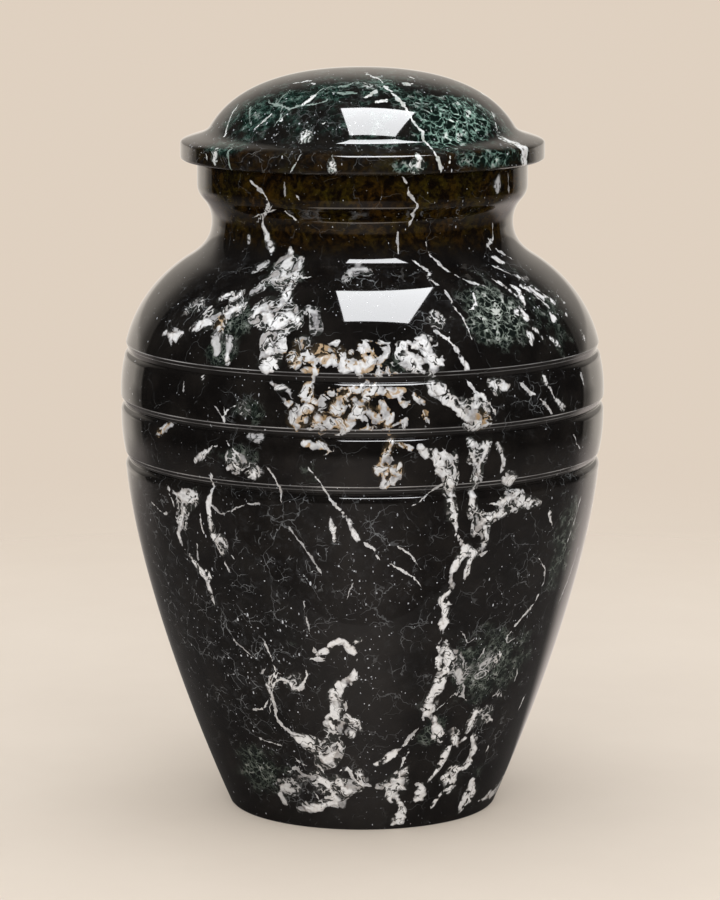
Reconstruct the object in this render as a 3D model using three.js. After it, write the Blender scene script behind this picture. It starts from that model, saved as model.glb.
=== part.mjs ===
// A turned marble urn: a hollow vessel with three grooves round its belly, and a domed lid that lifts off.
// Millimetres, +Z up, with the origin at the middle of the foot's underside.
// Every outline is drawn as points of radius and height, and turned round the Z axis.
// A lean is in degrees from upright: positive leans outwards on the way up, negative leans inwards.
// A reach is the length of a curve's handle, so a longer one keeps the curve's direction for longer.
import * as THREE from "three";

// Facets round the axis
const AROUND = 56;

// Foot and lower body
const FOOT_RADIUS = 49.4;
const FOOT_CHAMFER = 0.6;
const FOOT_LEAN = 23.55;
const FOOT_REACH = 41;
const LOWER_TOP_LEAN = 5;
const LOWER_TOP_REACH = 35.4;

// Grooves, from the lowest up: the height of the upper lip, and the radius below and above the groove
const GROOVES = [
  { lip: 133, below: 87.2, above: 87.4 },
  { lip: 153.5, below: 88.7, above: 88.8 },
  { lip: 172.9, below: 87.4, above: 86.8 },
];
const GROOVE_WIDTH = 3;
const GROOVE_DEPTH = 1.5;
const GROOVE_FLOOR_RISE = 0.8;
const LOWER_LIP_ROUND = 1.1;
const LOWER_LIP_DROP = 0.3;
const BAND_BULGE = 0.46;

// Shoulder, and the hollow flare up to the waist of the neck
const SHOULDER_LEAN = -14.3;
const SHOULDER_REACH = 14.7;
const FLARE_RADIUS = 63.3;
const FLARE_HEIGHT = 204.1;
const FLARE_LEAN = -58.1;
const FLARE_REACH_BELOW = 13.1;
const FLARE_REACH_ABOVE = 6.9;
const WAIST_RADIUS = 55.1;
const WAIST_HEIGHT = 217.2;
const WAIST_REACH = 5.4;

// Collar, and the double curve below it: a hollow, a short slope and a rounded edge
const COLLAR_RADIUS = 60.4;
const COLLAR_EDGE_ROUND = 7.1;
const COLLAR_HOLLOW_ROUND = 12;
const COLLAR_SLOPE_LEAN = 39.9;
const RIM_HEIGHT = 239.4;
const RIM_CHAMFER = 0.5;

// Inside of the vessel
const WALL = 8;
const FLOOR_THICKNESS = 14;
const FLOOR_CORNER_REACH = 5;
const CAVITY_START = 0.14;
const MOUTH_RADIUS = 47.1;

// Lid
const LID_GAP = 0.3;
const FLANGE_RADIUS = 66.5;
const FLANGE_LOWER_CHAMFER = 0.6;
const FLANGE_SIDE_HEIGHT = 5.1;
const FLANGE_EDGE_REACH = 1.2;
const COVE_RADIUS = 65;
const COVE_HEIGHT = 7.2;
const COVE_LEAN = -67;
const COVE_REACH = 4.1;
const DOME_FOOT_RADIUS = 55.7;
const DOME_FOOT_HEIGHT = 11.6;
const DOME_FOOT_LEAN = -31;
const DOME_FOOT_REACH_BELOW = 3;
const DOME_FOOT_REACH_ABOVE = 10.1;
const DOME_HEIGHT = 32.9;
const DOME_TOP_REACH = 37.8;
const LEVEL_INWARDS = -90;
const PLUG_CLEARANCE = 0.7;
const PLUG_DEPTH = 9;
const PLUG_CHAMFER = 1;

// A point of an outline
const at = (radius, height) => new THREE.Vector2(radius, height);

// A step of a given length along a lean
function step(lean, length) {
  const angle = THREE.MathUtils.degToRad(lean);
  return at(length * Math.sin(angle), length * Math.cos(angle));
}

// A curve up from one point to another, leaving the first along its lean and reaching the second along its own
function sweep(start, startLean, startReach, end, endLean, endReach) {
  const leaving = start.clone().add(step(startLean, startReach));
  const arriving = end.clone().sub(step(endLean, endReach));
  return new THREE.CubicBezierCurve(start, leaving, arriving, end);
}

// The points of a curve, shifted off it into the wall by a given depth
function insetPoints(curve, depth, count, firstShare = 0) {
  const points = [];
  for (let i = 0; i <= count; i += 1) {
    const share = firstShare + ((1 - firstShare) * i) / count;
    const tangent = curve.getTangent(share);
    const inwards = at(-tangent.y, tangent.x);
    points.push(curve.getPoint(share).addScaledVector(inwards, depth));
  }
  return points;
}

// The outline of one groove, from its rounded lower lip to its crisp upper one
function groovePoints({ lip, below, above }) {
  const lowerLip = lip - GROOVE_WIDTH;
  return [
    at(below, lowerLip - LOWER_LIP_ROUND),
    at(below - LOWER_LIP_DROP, lowerLip),
    at(below - GROOVE_DEPTH, lowerLip + GROOVE_FLOOR_RISE),
    at(above, lip),
  ];
}

// The middle of the slightly rounded band between two grooves
function bandMiddle(lower, upper) {
  const radius = (lower.above + upper.below) / 2 + BAND_BULGE;
  return at(radius, (lower.lip + upper.lip - GROOVE_WIDTH) / 2);
}

// The hollow, slope and rounded edge that lead from the waist out to the collar
function collarPoints() {
  const turn = THREE.MathUtils.degToRad(COLLAR_SLOPE_LEAN);
  const roundsWidth = (COLLAR_HOLLOW_ROUND + COLLAR_EDGE_ROUND) * (1 - Math.cos(turn));
  const slopeLength = (COLLAR_RADIUS - WAIST_RADIUS - roundsWidth) / Math.sin(turn);
  const points = [];
  for (const share of [0.5, 1]) {
    const angle = turn * share;
    const radius = WAIST_RADIUS + COLLAR_HOLLOW_ROUND * (1 - Math.cos(angle));
    points.push(at(radius, WAIST_HEIGHT + COLLAR_HOLLOW_ROUND * Math.sin(angle)));
  }
  const slopeTop = points.at(-1).clone().add(step(COLLAR_SLOPE_LEAN, slopeLength));
  const edgeHeight = slopeTop.y + COLLAR_EDGE_ROUND * Math.sin(turn);
  for (const share of [1, 0.5, 0]) {
    const angle = turn * share;
    const radius = COLLAR_RADIUS - COLLAR_EDGE_ROUND * (1 - Math.cos(angle));
    points.push(at(radius, edgeHeight - COLLAR_EDGE_ROUND * Math.sin(angle)));
  }
  return points;
}

// One closed solid turned from an outline that starts and ends on the axis
function turned(name, outline, colour, roughness) {
  const geometry = new THREE.LatheGeometry(outline, AROUND);
  geometry.rotateX(Math.PI / 2);
  const material = new THREE.MeshStandardMaterial({ color: colour, roughness, metalness: 0 });
  const mesh = new THREE.Mesh(geometry, material);
  mesh.name = name;
  return mesh;
}

function urnBody() {
  const [lowGroove, midGroove, topGroove] = GROOVES;
  const footEdge = at(FOOT_RADIUS, FOOT_CHAMFER);
  const lowerTop = at(lowGroove.below, lowGroove.lip - GROOVE_WIDTH - LOWER_LIP_ROUND);
  const lower = sweep(footEdge, FOOT_LEAN, FOOT_REACH, lowerTop, LOWER_TOP_LEAN, LOWER_TOP_REACH);
  const shoulderFoot = at(topGroove.above, topGroove.lip);
  const flareFoot = at(FLARE_RADIUS, FLARE_HEIGHT);
  const waist = at(WAIST_RADIUS, WAIST_HEIGHT);
  const shoulder = sweep(
    shoulderFoot, SHOULDER_LEAN, SHOULDER_REACH, flareFoot, FLARE_LEAN, FLARE_REACH_BELOW,
  );
  const flare = sweep(flareFoot, FLARE_LEAN, FLARE_REACH_ABOVE, waist, 0, WAIST_REACH);

  const outside = [
    at(0, 0),
    at(FOOT_RADIUS - FOOT_CHAMFER, 0),
    ...lower.getPoints(9).slice(0, -1),
    ...groovePoints(lowGroove),
    bandMiddle(lowGroove, midGroove),
    ...groovePoints(midGroove),
    bandMiddle(midGroove, topGroove),
    ...groovePoints(topGroove).slice(0, -1),
    ...shoulder.getPoints(7).slice(0, -1),
    ...flare.getPoints(5),
    ...collarPoints(),
    at(COLLAR_RADIUS, RIM_HEIGHT - RIM_CHAMFER),
    at(COLLAR_RADIUS - RIM_CHAMFER, RIM_HEIGHT),
  ];

  const lowerInside = insetPoints(lower, WALL, 5, CAVITY_START);
  const wallFoot = lowerInside[0];
  const floorEdge = at(wallFoot.x - FLOOR_CORNER_REACH, FLOOR_THICKNESS);
  const floorCorner = at((wallFoot.x * 3 + floorEdge.x) / 4, (wallFoot.y + floorEdge.y * 3) / 4);
  const inside = [
    at(0, FLOOR_THICKNESS),
    floorEdge,
    floorCorner,
    ...lowerInside,
    at(midGroove.below - WALL, midGroove.lip - GROOVE_WIDTH),
    ...insetPoints(shoulder, WALL, 4),
    ...insetPoints(flare, WALL, 3).slice(1, -1),
    at(MOUTH_RADIUS, WAIST_HEIGHT),
    at(MOUTH_RADIUS, RIM_HEIGHT - RIM_CHAMFER),
    at(MOUTH_RADIUS + RIM_CHAMFER, RIM_HEIGHT),
  ];
  return turned("urn_body", [...outside, ...inside.reverse()], 0x1b1916, 0.12);
}

function urnLid() {
  const underside = RIM_HEIGHT + LID_GAP;
  const plugRadius = MOUTH_RADIUS - PLUG_CLEARANCE;
  const plugBottom = underside - PLUG_DEPTH;
  const sideTop = at(FLANGE_RADIUS, underside + FLANGE_SIDE_HEIGHT);
  const coveFoot = at(COVE_RADIUS, underside + COVE_HEIGHT);
  const domeFoot = at(DOME_FOOT_RADIUS, underside + DOME_FOOT_HEIGHT);
  const domeTop = at(0, underside + DOME_HEIGHT);
  const edge = sweep(sideTop, 0, FLANGE_EDGE_REACH, coveFoot, COVE_LEAN, FLANGE_RADIUS - COVE_RADIUS);
  const cove = sweep(coveFoot, COVE_LEAN, COVE_REACH, domeFoot, DOME_FOOT_LEAN, DOME_FOOT_REACH_BELOW);
  const dome = sweep(
    domeFoot, DOME_FOOT_LEAN, DOME_FOOT_REACH_ABOVE, domeTop, LEVEL_INWARDS, DOME_TOP_REACH,
  );
  const outline = [
    at(0, plugBottom),
    at(plugRadius - PLUG_CHAMFER, plugBottom),
    at(plugRadius, plugBottom + PLUG_CHAMFER),
    at(plugRadius, underside),
    at(FLANGE_RADIUS - FLANGE_LOWER_CHAMFER, underside),
    at(FLANGE_RADIUS, underside + FLANGE_LOWER_CHAMFER),
    ...edge.getPoints(3).slice(0, -1),
    ...cove.getPoints(5).slice(0, -1),
    ...dome.getPoints(9),
  ];
  return turned("urn_lid", outline, 0x1c1e18, 0.12);
}

const urn = new THREE.Group();
urn.add(urnBody(), urnLid());

export default urn;
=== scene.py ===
"""A turned urn of black veined marble with a domed lid, on a pale studio table.

Lengths are in millimetres, turned to metres when a mesh is made. Only those of the stage are in metres.
A place on the stone is given as degrees round the axis, 0 at the front and positive to the right, and height.
"""
import math

import bpy
import numpy as np
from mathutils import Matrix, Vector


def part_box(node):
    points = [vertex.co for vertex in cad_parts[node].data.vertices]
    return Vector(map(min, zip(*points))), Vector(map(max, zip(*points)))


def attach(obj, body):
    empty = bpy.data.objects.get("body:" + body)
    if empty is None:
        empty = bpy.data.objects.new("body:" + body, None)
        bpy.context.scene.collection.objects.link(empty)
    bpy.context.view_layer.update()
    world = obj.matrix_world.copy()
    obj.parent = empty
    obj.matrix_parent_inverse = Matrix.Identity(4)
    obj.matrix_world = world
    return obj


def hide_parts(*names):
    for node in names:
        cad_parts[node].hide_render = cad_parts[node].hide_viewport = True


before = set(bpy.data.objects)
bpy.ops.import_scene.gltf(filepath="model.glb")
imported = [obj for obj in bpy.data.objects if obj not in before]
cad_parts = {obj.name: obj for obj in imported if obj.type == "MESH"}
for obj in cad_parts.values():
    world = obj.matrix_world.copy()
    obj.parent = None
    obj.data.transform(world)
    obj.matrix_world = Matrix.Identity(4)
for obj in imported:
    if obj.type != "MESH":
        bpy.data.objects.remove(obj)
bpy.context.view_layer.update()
MM = 0.001

# Sizes read from the frame
BODY_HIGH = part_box("urn_body")[1]
LID_LOW, LID_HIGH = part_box("urn_lid")
BELLY_RADIUS = BODY_HIGH[0] / MM
RIM_HEIGHT = BODY_HIGH[2] / MM
FLANGE_RADIUS = LID_HIGH[0] / MM
LID_TOP = LID_HIGH[2] / MM
PLUG_BOTTOM = LID_LOW[2] / MM

# Foot and lower body
FOOT_RADIUS = 49.4
FOOT_CHAMFER = 0.6
FOOT_LEAN = 23.55
FOOT_REACH = 41.0
LOWER_TOP_LEAN = 5.0
LOWER_TOP_REACH = 35.4

# Grooves, from the lowest up: height of the upper lip, radius below and above the groove
GROOVES = ((133.0, 87.2, 87.4), (153.5, 88.7, BELLY_RADIUS), (172.9, 87.4, 86.8))
GROOVE_DEPTH = 1.5
GROOVE_FLOOR = 3.2
LOWER_LIP_ROUND = 2.2
LOWER_LIP_TURN = math.radians(52.0)
LOWER_LIP_DROP = LOWER_LIP_ROUND * (1 - math.cos(LOWER_LIP_TURN))
SHELF_RISE = (GROOVE_DEPTH - LOWER_LIP_DROP) / math.tan(LOWER_LIP_TURN)
GROOVE_SPAN = GROOVE_FLOOR + SHELF_RISE + LOWER_LIP_ROUND * math.sin(LOWER_LIP_TURN)
LIP_ROUND = 0.42
FLOOR_ROUND = 0.35
ROUND_SUPPORT = 0.25
BAND_BULGE = 0.46

# Shoulder, flare and waist
SHOULDER_LEAN = -14.3
SHOULDER_REACH = 14.7
FLARE = (63.3, 204.1)
FLARE_LEAN = -58.1
FLARE_REACH_BELOW = 13.1
FLARE_REACH_ABOVE = 6.9
WAIST = (55.1, 217.2)
WAIST_REACH = 5.4

# Collar, and the hollow below it
COLLAR_RADIUS = 60.4
COLLAR_EDGE_ROUND = 7.1
COLLAR_HOLLOW_ROUND = 12.0
COLLAR_SLOPE_LEAN = 39.9
COLLAR_SIDE = 8.0
RIM_CHAMFER = 0.5

# Inside of the vessel
WALL = 8.0
BELLY_INSIDE_DROP = 3.0
FLOOR_THICKNESS = 14.0
FLOOR_CORNER_REACH = 5.0
CAVITY_START = 0.14
MOUTH_RADIUS = 47.1

# Lid
LID_GAP = 0.3
UNDERSIDE = RIM_HEIGHT + LID_GAP
FLANGE_LOWER_CHAMFER = 0.6
CHAMFER_EASE = 0.1
CHAMFER_RISE = 0.04
FLANGE_SIDE_HEIGHT = 5.1
FLANGE_EDGE_REACH = 1.2
COVE = (65.0, UNDERSIDE + 7.2)
COVE_LEAN = -67.0
COVE_REACH = 4.1
DOME_FOOT = (55.7, UNDERSIDE + 11.6)
DOME_FOOT_LEAN = -31.0
DOME_FOOT_REACH_BELOW = 3.0
DOME_FOOT_REACH_ABOVE = 10.1
DOME_TOP_REACH = 37.8
PLUG_CLEARANCE = 0.7
PLUG_RADIUS = MOUTH_RADIUS - PLUG_CLEARANCE
PLUG_CHAMFER = 1.0
LEVEL_INWARDS = -90.0

# How finely the outlines are divided: rows of points along curves, and spacing along straight stretches
LOWER_ROWS = 92
ROLL_ROWS = 6
BAND_ROWS = 14
SHOULDER_ROWS = 36
SHOULDER_START = 0.02
FLARE_ROWS = 18
COLLAR_ARC_ROWS = 7
INSIDE_LOWER_ROWS = 8
INSIDE_SHOULDER_ROWS = 6
INSIDE_FLARE_ROWS = 4
FLANGE_EDGE_ROWS = 8
COVE_ROWS = 16
DOME_ROWS = 70
FOOT_SPACING = 16.0
PLUG_SPACING = 15.0
COLLAR_SPACING = 1.4
FLANGE_SPACING = 0.9


# Outlines, as arrays of radius and height

def step(lean, length):
    """A step of a given length that goes up and leans outwards by an angle from upright."""
    angle = math.radians(lean)
    return np.array([length * math.sin(angle), length * math.cos(angle)])


def handles(start, start_lean, start_reach, end, end_lean, end_reach):
    """The four points of a cubic curve that leaves start and reaches end along their leans."""
    start, end = np.array(start, float), np.array(end, float)
    return start, start + step(start_lean, start_reach), end - step(end_lean, end_reach), end


def along(curve, count, first=0.0):
    """Points of a cubic curve: (1-t)^3 a + 3t(1-t)^2 b + 3t^2(1-t) c + t^3 d."""
    t = np.linspace(first, 1, count)[:, None]
    a, b, c, d = curve
    return (1 - t) ** 3 * a + 3 * t * (1 - t) ** 2 * b + 3 * t ** 2 * (1 - t) * c + t ** 3 * d


def inset(curve, depth, count, first=0.0):
    """Points of a cubic curve shifted into the wall: each moves by depth along the left-hand normal."""
    t = np.linspace(first, 1, count)[:, None]
    a, b, c, d = curve
    slope = (1 - t) ** 2 * (b - a) + 2 * t * (1 - t) * (c - b) + t ** 2 * (d - c)
    slope /= np.linalg.norm(slope, axis=1, keepdims=True)
    return along(curve, count, first) + depth * np.stack([-slope[:, 1], slope[:, 0]], 1)


def straight(points, spacing):
    """Points spaced evenly along the straight stretches between the given ones."""
    points = np.array(points, float)
    stretches = [points[:1]]
    for start, end in zip(points[:-1], points[1:]):
        count = max(1, round(float(np.linalg.norm(end - start)) / spacing))
        stretches.append(start + (end - start) * (np.arange(1, count + 1) / count)[:, None])
    return np.vstack(stretches)


def on_the_way(start, end, length):
    """The point a given length along the way from one point to another."""
    return start + (end - start) * (length / np.linalg.norm(end - start))


def rounded(before, corner, after, count=5):
    """Points round a corner: (1-t)^2 before + 2t(1-t) corner + t^2 after."""
    t = np.linspace(0, 1, count)[:, None]
    return (1 - t) ** 2 * before + 2 * t * (1 - t) * corner + t ** 2 * after


def groove(lip, below, above, next_point):
    """One groove: a lower lip that rolls in, a sloping shelf to a tight floor, and a side up to a crisp lip.

    The roll is an arc: the radius drops by 1 - cos and the height grows by sin of the turn, times the round.
    The floor and the upper lip are small rounds with a point beyond each, which keeps the side between them
    flat in its shading. The lip's round ends on the way to the next point above it.
    """
    roll = np.linspace(0, LOWER_LIP_TURN, ROLL_ROWS)
    rolled = np.stack([
        below - LOWER_LIP_ROUND * (1 - np.cos(roll)),
        lip - GROOVE_SPAN + LOWER_LIP_ROUND * np.sin(roll),
    ], 1)
    floor = np.array([below - GROOVE_DEPTH, lip - GROOVE_FLOOR])
    edge = np.array([above, lip])
    return np.vstack([
        rolled,
        rounded(on_the_way(floor, rolled[-1], FLOOR_ROUND), floor, on_the_way(floor, edge, FLOOR_ROUND)),
        on_the_way(floor, edge, FLOOR_ROUND + ROUND_SUPPORT),
        on_the_way(edge, floor, LIP_ROUND + ROUND_SUPPORT),
        rounded(on_the_way(edge, floor, LIP_ROUND), edge, on_the_way(edge, next_point, LIP_ROUND)),
    ])


def band(lower, upper):
    """The slightly rounded face between two grooves: straight, plus a bulge of 1 - s^2 at its middle."""
    s = np.linspace(-1, 1, BAND_ROWS)[1:-1]
    half = (s + 1) / 2
    top = upper[0] - GROOVE_SPAN
    radius = lower[2] + (upper[1] - lower[2]) * half + BAND_BULGE * (1 - s ** 2)
    return np.stack([radius, lower[0] + (top - lower[0]) * half], 1)


def collar():
    """The hollow above the waist, a short slope and the rounded edge of the collar.

    The hollow and the edge are arcs: the radius changes by 1 - cos and the height by sin, times their rounds.
    """
    turn = math.radians(COLLAR_SLOPE_LEAN)
    rounds = (COLLAR_HOLLOW_ROUND + COLLAR_EDGE_ROUND) * (1 - math.cos(turn))
    slope = (COLLAR_RADIUS - WAIST[0] - rounds) / math.sin(turn)
    angle = np.linspace(0, turn, COLLAR_ARC_ROWS)[1:]
    hollow = np.stack([
        WAIST[0] + COLLAR_HOLLOW_ROUND * (1 - np.cos(angle)),
        WAIST[1] + COLLAR_HOLLOW_ROUND * np.sin(angle),
    ], 1)
    edge_height = hollow[-1, 1] + step(COLLAR_SLOPE_LEAN, slope)[1] + COLLAR_EDGE_ROUND * math.sin(turn)
    angle = np.linspace(turn, 0, COLLAR_ARC_ROWS)
    edge = np.stack([
        COLLAR_RADIUS - COLLAR_EDGE_ROUND * (1 - np.cos(angle)),
        edge_height - COLLAR_EDGE_ROUND * np.sin(angle),
    ], 1)
    return np.vstack([hollow, edge])


def body_outline():
    """The vessel's outline: from the middle of its underside, up the outside and down the inside."""
    low, mid, top = GROOVES
    lower_top = (low[1], low[0] - GROOVE_SPAN)
    lower = handles((FOOT_RADIUS, FOOT_CHAMFER), FOOT_LEAN, FOOT_REACH,
                    lower_top, LOWER_TOP_LEAN, LOWER_TOP_REACH)
    low_band = band(low, mid)
    high_band = band(mid, top)
    shoulder = handles((top[2], top[0]), SHOULDER_LEAN, SHOULDER_REACH,
                       FLARE, FLARE_LEAN, FLARE_REACH_BELOW)
    shoulder_points = along(shoulder, SHOULDER_ROWS, SHOULDER_START)[:-1]
    flare = handles(FLARE, FLARE_LEAN, FLARE_REACH_ABOVE, WAIST, 0, WAIST_REACH)
    rim_edge = (COLLAR_RADIUS, RIM_HEIGHT - RIM_CHAMFER)
    outside = np.vstack([
        straight([(0, 0), (FOOT_RADIUS - FOOT_CHAMFER, 0)], FOOT_SPACING),
        along(lower, LOWER_ROWS)[:-1],
        groove(*low, low_band[0]),
        low_band,
        groove(*mid, high_band[0]),
        high_band,
        groove(*top, shoulder_points[0]),
        shoulder_points,
        along(flare, FLARE_ROWS),
        collar(),
        straight([(COLLAR_RADIUS, RIM_HEIGHT - COLLAR_SIDE), rim_edge], COLLAR_SPACING),
        [(COLLAR_RADIUS - RIM_CHAMFER, RIM_HEIGHT)],
    ])
    lower_inside = inset(lower, WALL, INSIDE_LOWER_ROWS, CAVITY_START)
    wall_foot = lower_inside[0]
    floor_edge = np.array([wall_foot[0] - FLOOR_CORNER_REACH, FLOOR_THICKNESS])
    corner = np.array([(wall_foot[0] * 3 + floor_edge[0]) / 4, (wall_foot[1] + floor_edge[1] * 3) / 4])
    inside = np.vstack([
        [(0, FLOOR_THICKNESS), floor_edge, corner],
        lower_inside,
        [(mid[1] - WALL, mid[0] - BELLY_INSIDE_DROP)],
        inset(shoulder, WALL, INSIDE_SHOULDER_ROWS),
        inset(flare, WALL, INSIDE_FLARE_ROWS)[1:-1],
        [(MOUTH_RADIUS, WAIST[1]), (MOUTH_RADIUS, RIM_HEIGHT - RIM_CHAMFER)],
        [(MOUTH_RADIUS + RIM_CHAMFER, RIM_HEIGHT)],
    ])
    return np.vstack([outside, inside[::-1]])


def lid_outline():
    """The lid's outline from the middle of its plug, round the flange and up the dome."""
    chamfer_start = FLANGE_RADIUS - FLANGE_LOWER_CHAMFER
    chamfer_end = UNDERSIDE + FLANGE_LOWER_CHAMFER
    side_top = (FLANGE_RADIUS, UNDERSIDE + FLANGE_SIDE_HEIGHT)
    edge = handles(side_top, 0, FLANGE_EDGE_REACH, COVE, COVE_LEAN, FLANGE_RADIUS - COVE[0])
    cove = handles(COVE, COVE_LEAN, COVE_REACH, DOME_FOOT, DOME_FOOT_LEAN, DOME_FOOT_REACH_BELOW)
    dome = handles(DOME_FOOT, DOME_FOOT_LEAN, DOME_FOOT_REACH_ABOVE,
                   (0, LID_TOP), LEVEL_INWARDS, DOME_TOP_REACH)
    return np.vstack([
        straight([(0, PLUG_BOTTOM), (PLUG_RADIUS - PLUG_CHAMFER, PLUG_BOTTOM)], PLUG_SPACING),
        [(PLUG_RADIUS, PLUG_BOTTOM + PLUG_CHAMFER), (PLUG_RADIUS, UNDERSIDE)],
        [(chamfer_start - 2 * CHAMFER_EASE, UNDERSIDE), (chamfer_start, UNDERSIDE + CHAMFER_RISE)],
        [(FLANGE_RADIUS - CHAMFER_EASE, chamfer_end - CHAMFER_EASE)],
        straight([(FLANGE_RADIUS, chamfer_end + CHAMFER_EASE), side_top], FLANGE_SPACING),
        along(edge, FLANGE_EDGE_ROWS)[1:-1],
        along(cove, COVE_ROWS)[:-1],
        along(dome, DOME_ROWS),
    ])


# Meshes turned from the outlines

FRONT_HALF_ANGLE = 97.0
FRONT_COLUMNS = 260
BACK_COLUMNS = 110


def column_angles():
    """Angles of the grid's columns in degrees: closely spaced over the front, wider over the back."""
    front = np.linspace(-FRONT_HALF_ANGLE, FRONT_HALF_ANGLE, FRONT_COLUMNS, endpoint=False)
    back = np.linspace(FRONT_HALF_ANGLE, 360 - FRONT_HALF_ANGLE, BACK_COLUMNS, endpoint=False)
    return np.concatenate([front, back])


def turned_piece(name, outline):
    """A closed skin turned from an outline whose two ends lie on the axis.

    Each grid point is (r sin a, -r cos a, z). The two end points are single vertices with a fan of triangles.
    It gives back the object, and each vertex's angle in degrees, radius and height in millimetres.
    """
    degrees = column_angles()
    columns, rings = len(degrees), len(outline) - 2
    radius = np.repeat(outline[1:-1, 0], columns)
    height = np.repeat(outline[1:-1, 1], columns)
    angle = np.tile(degrees, rings)
    turn = np.radians(angle)
    grid = np.stack([radius * np.sin(turn), -radius * np.cos(turn), height], 1)
    ends = np.array([[0, 0, outline[0, 1]], [0, 0, outline[-1, 1]]])
    first_end, last_end = len(grid), len(grid) + 1

    column = np.arange(columns)
    beside = (column + 1) % columns
    row = np.arange(rings - 1)[:, None] * columns
    quads = np.stack([row + column, row + beside, row + columns + beside, row + columns + column], 2)
    top_row = (rings - 1) * columns
    low_fan = np.stack([np.full(columns, first_end), beside, column], 1)
    high_fan = np.stack([top_row + column, top_row + beside, np.full(columns, last_end)], 1)

    mesh = bpy.data.meshes.new(name)
    faces = [*quads.reshape(-1, 4).tolist(), *low_fan.tolist(), *high_fan.tolist()]
    mesh.from_pydata(np.vstack([grid, ends]) * MM, [], faces)
    mesh.polygons.foreach_set("use_smooth", np.ones(len(mesh.polygons), bool))
    mesh.update()
    piece = bpy.data.objects.new(name, mesh)
    bpy.context.scene.collection.objects.link(piece)
    places = (np.append(angle, [0, 0]), np.append(radius, [0, 0]), np.append(height, ends[:, 2]))
    return piece, places


def paint(piece, fields):
    """Stores numbers for each vertex under the names that the piece's material reads."""
    for name, values in fields.items():
        field = piece.data.attributes.new(name, "FLOAT", "POINT")
        field.data.foreach_set("value", values.astype(np.float32))


# Veins of the body: each is a run of (degrees, height, width) down or across the stone

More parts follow.
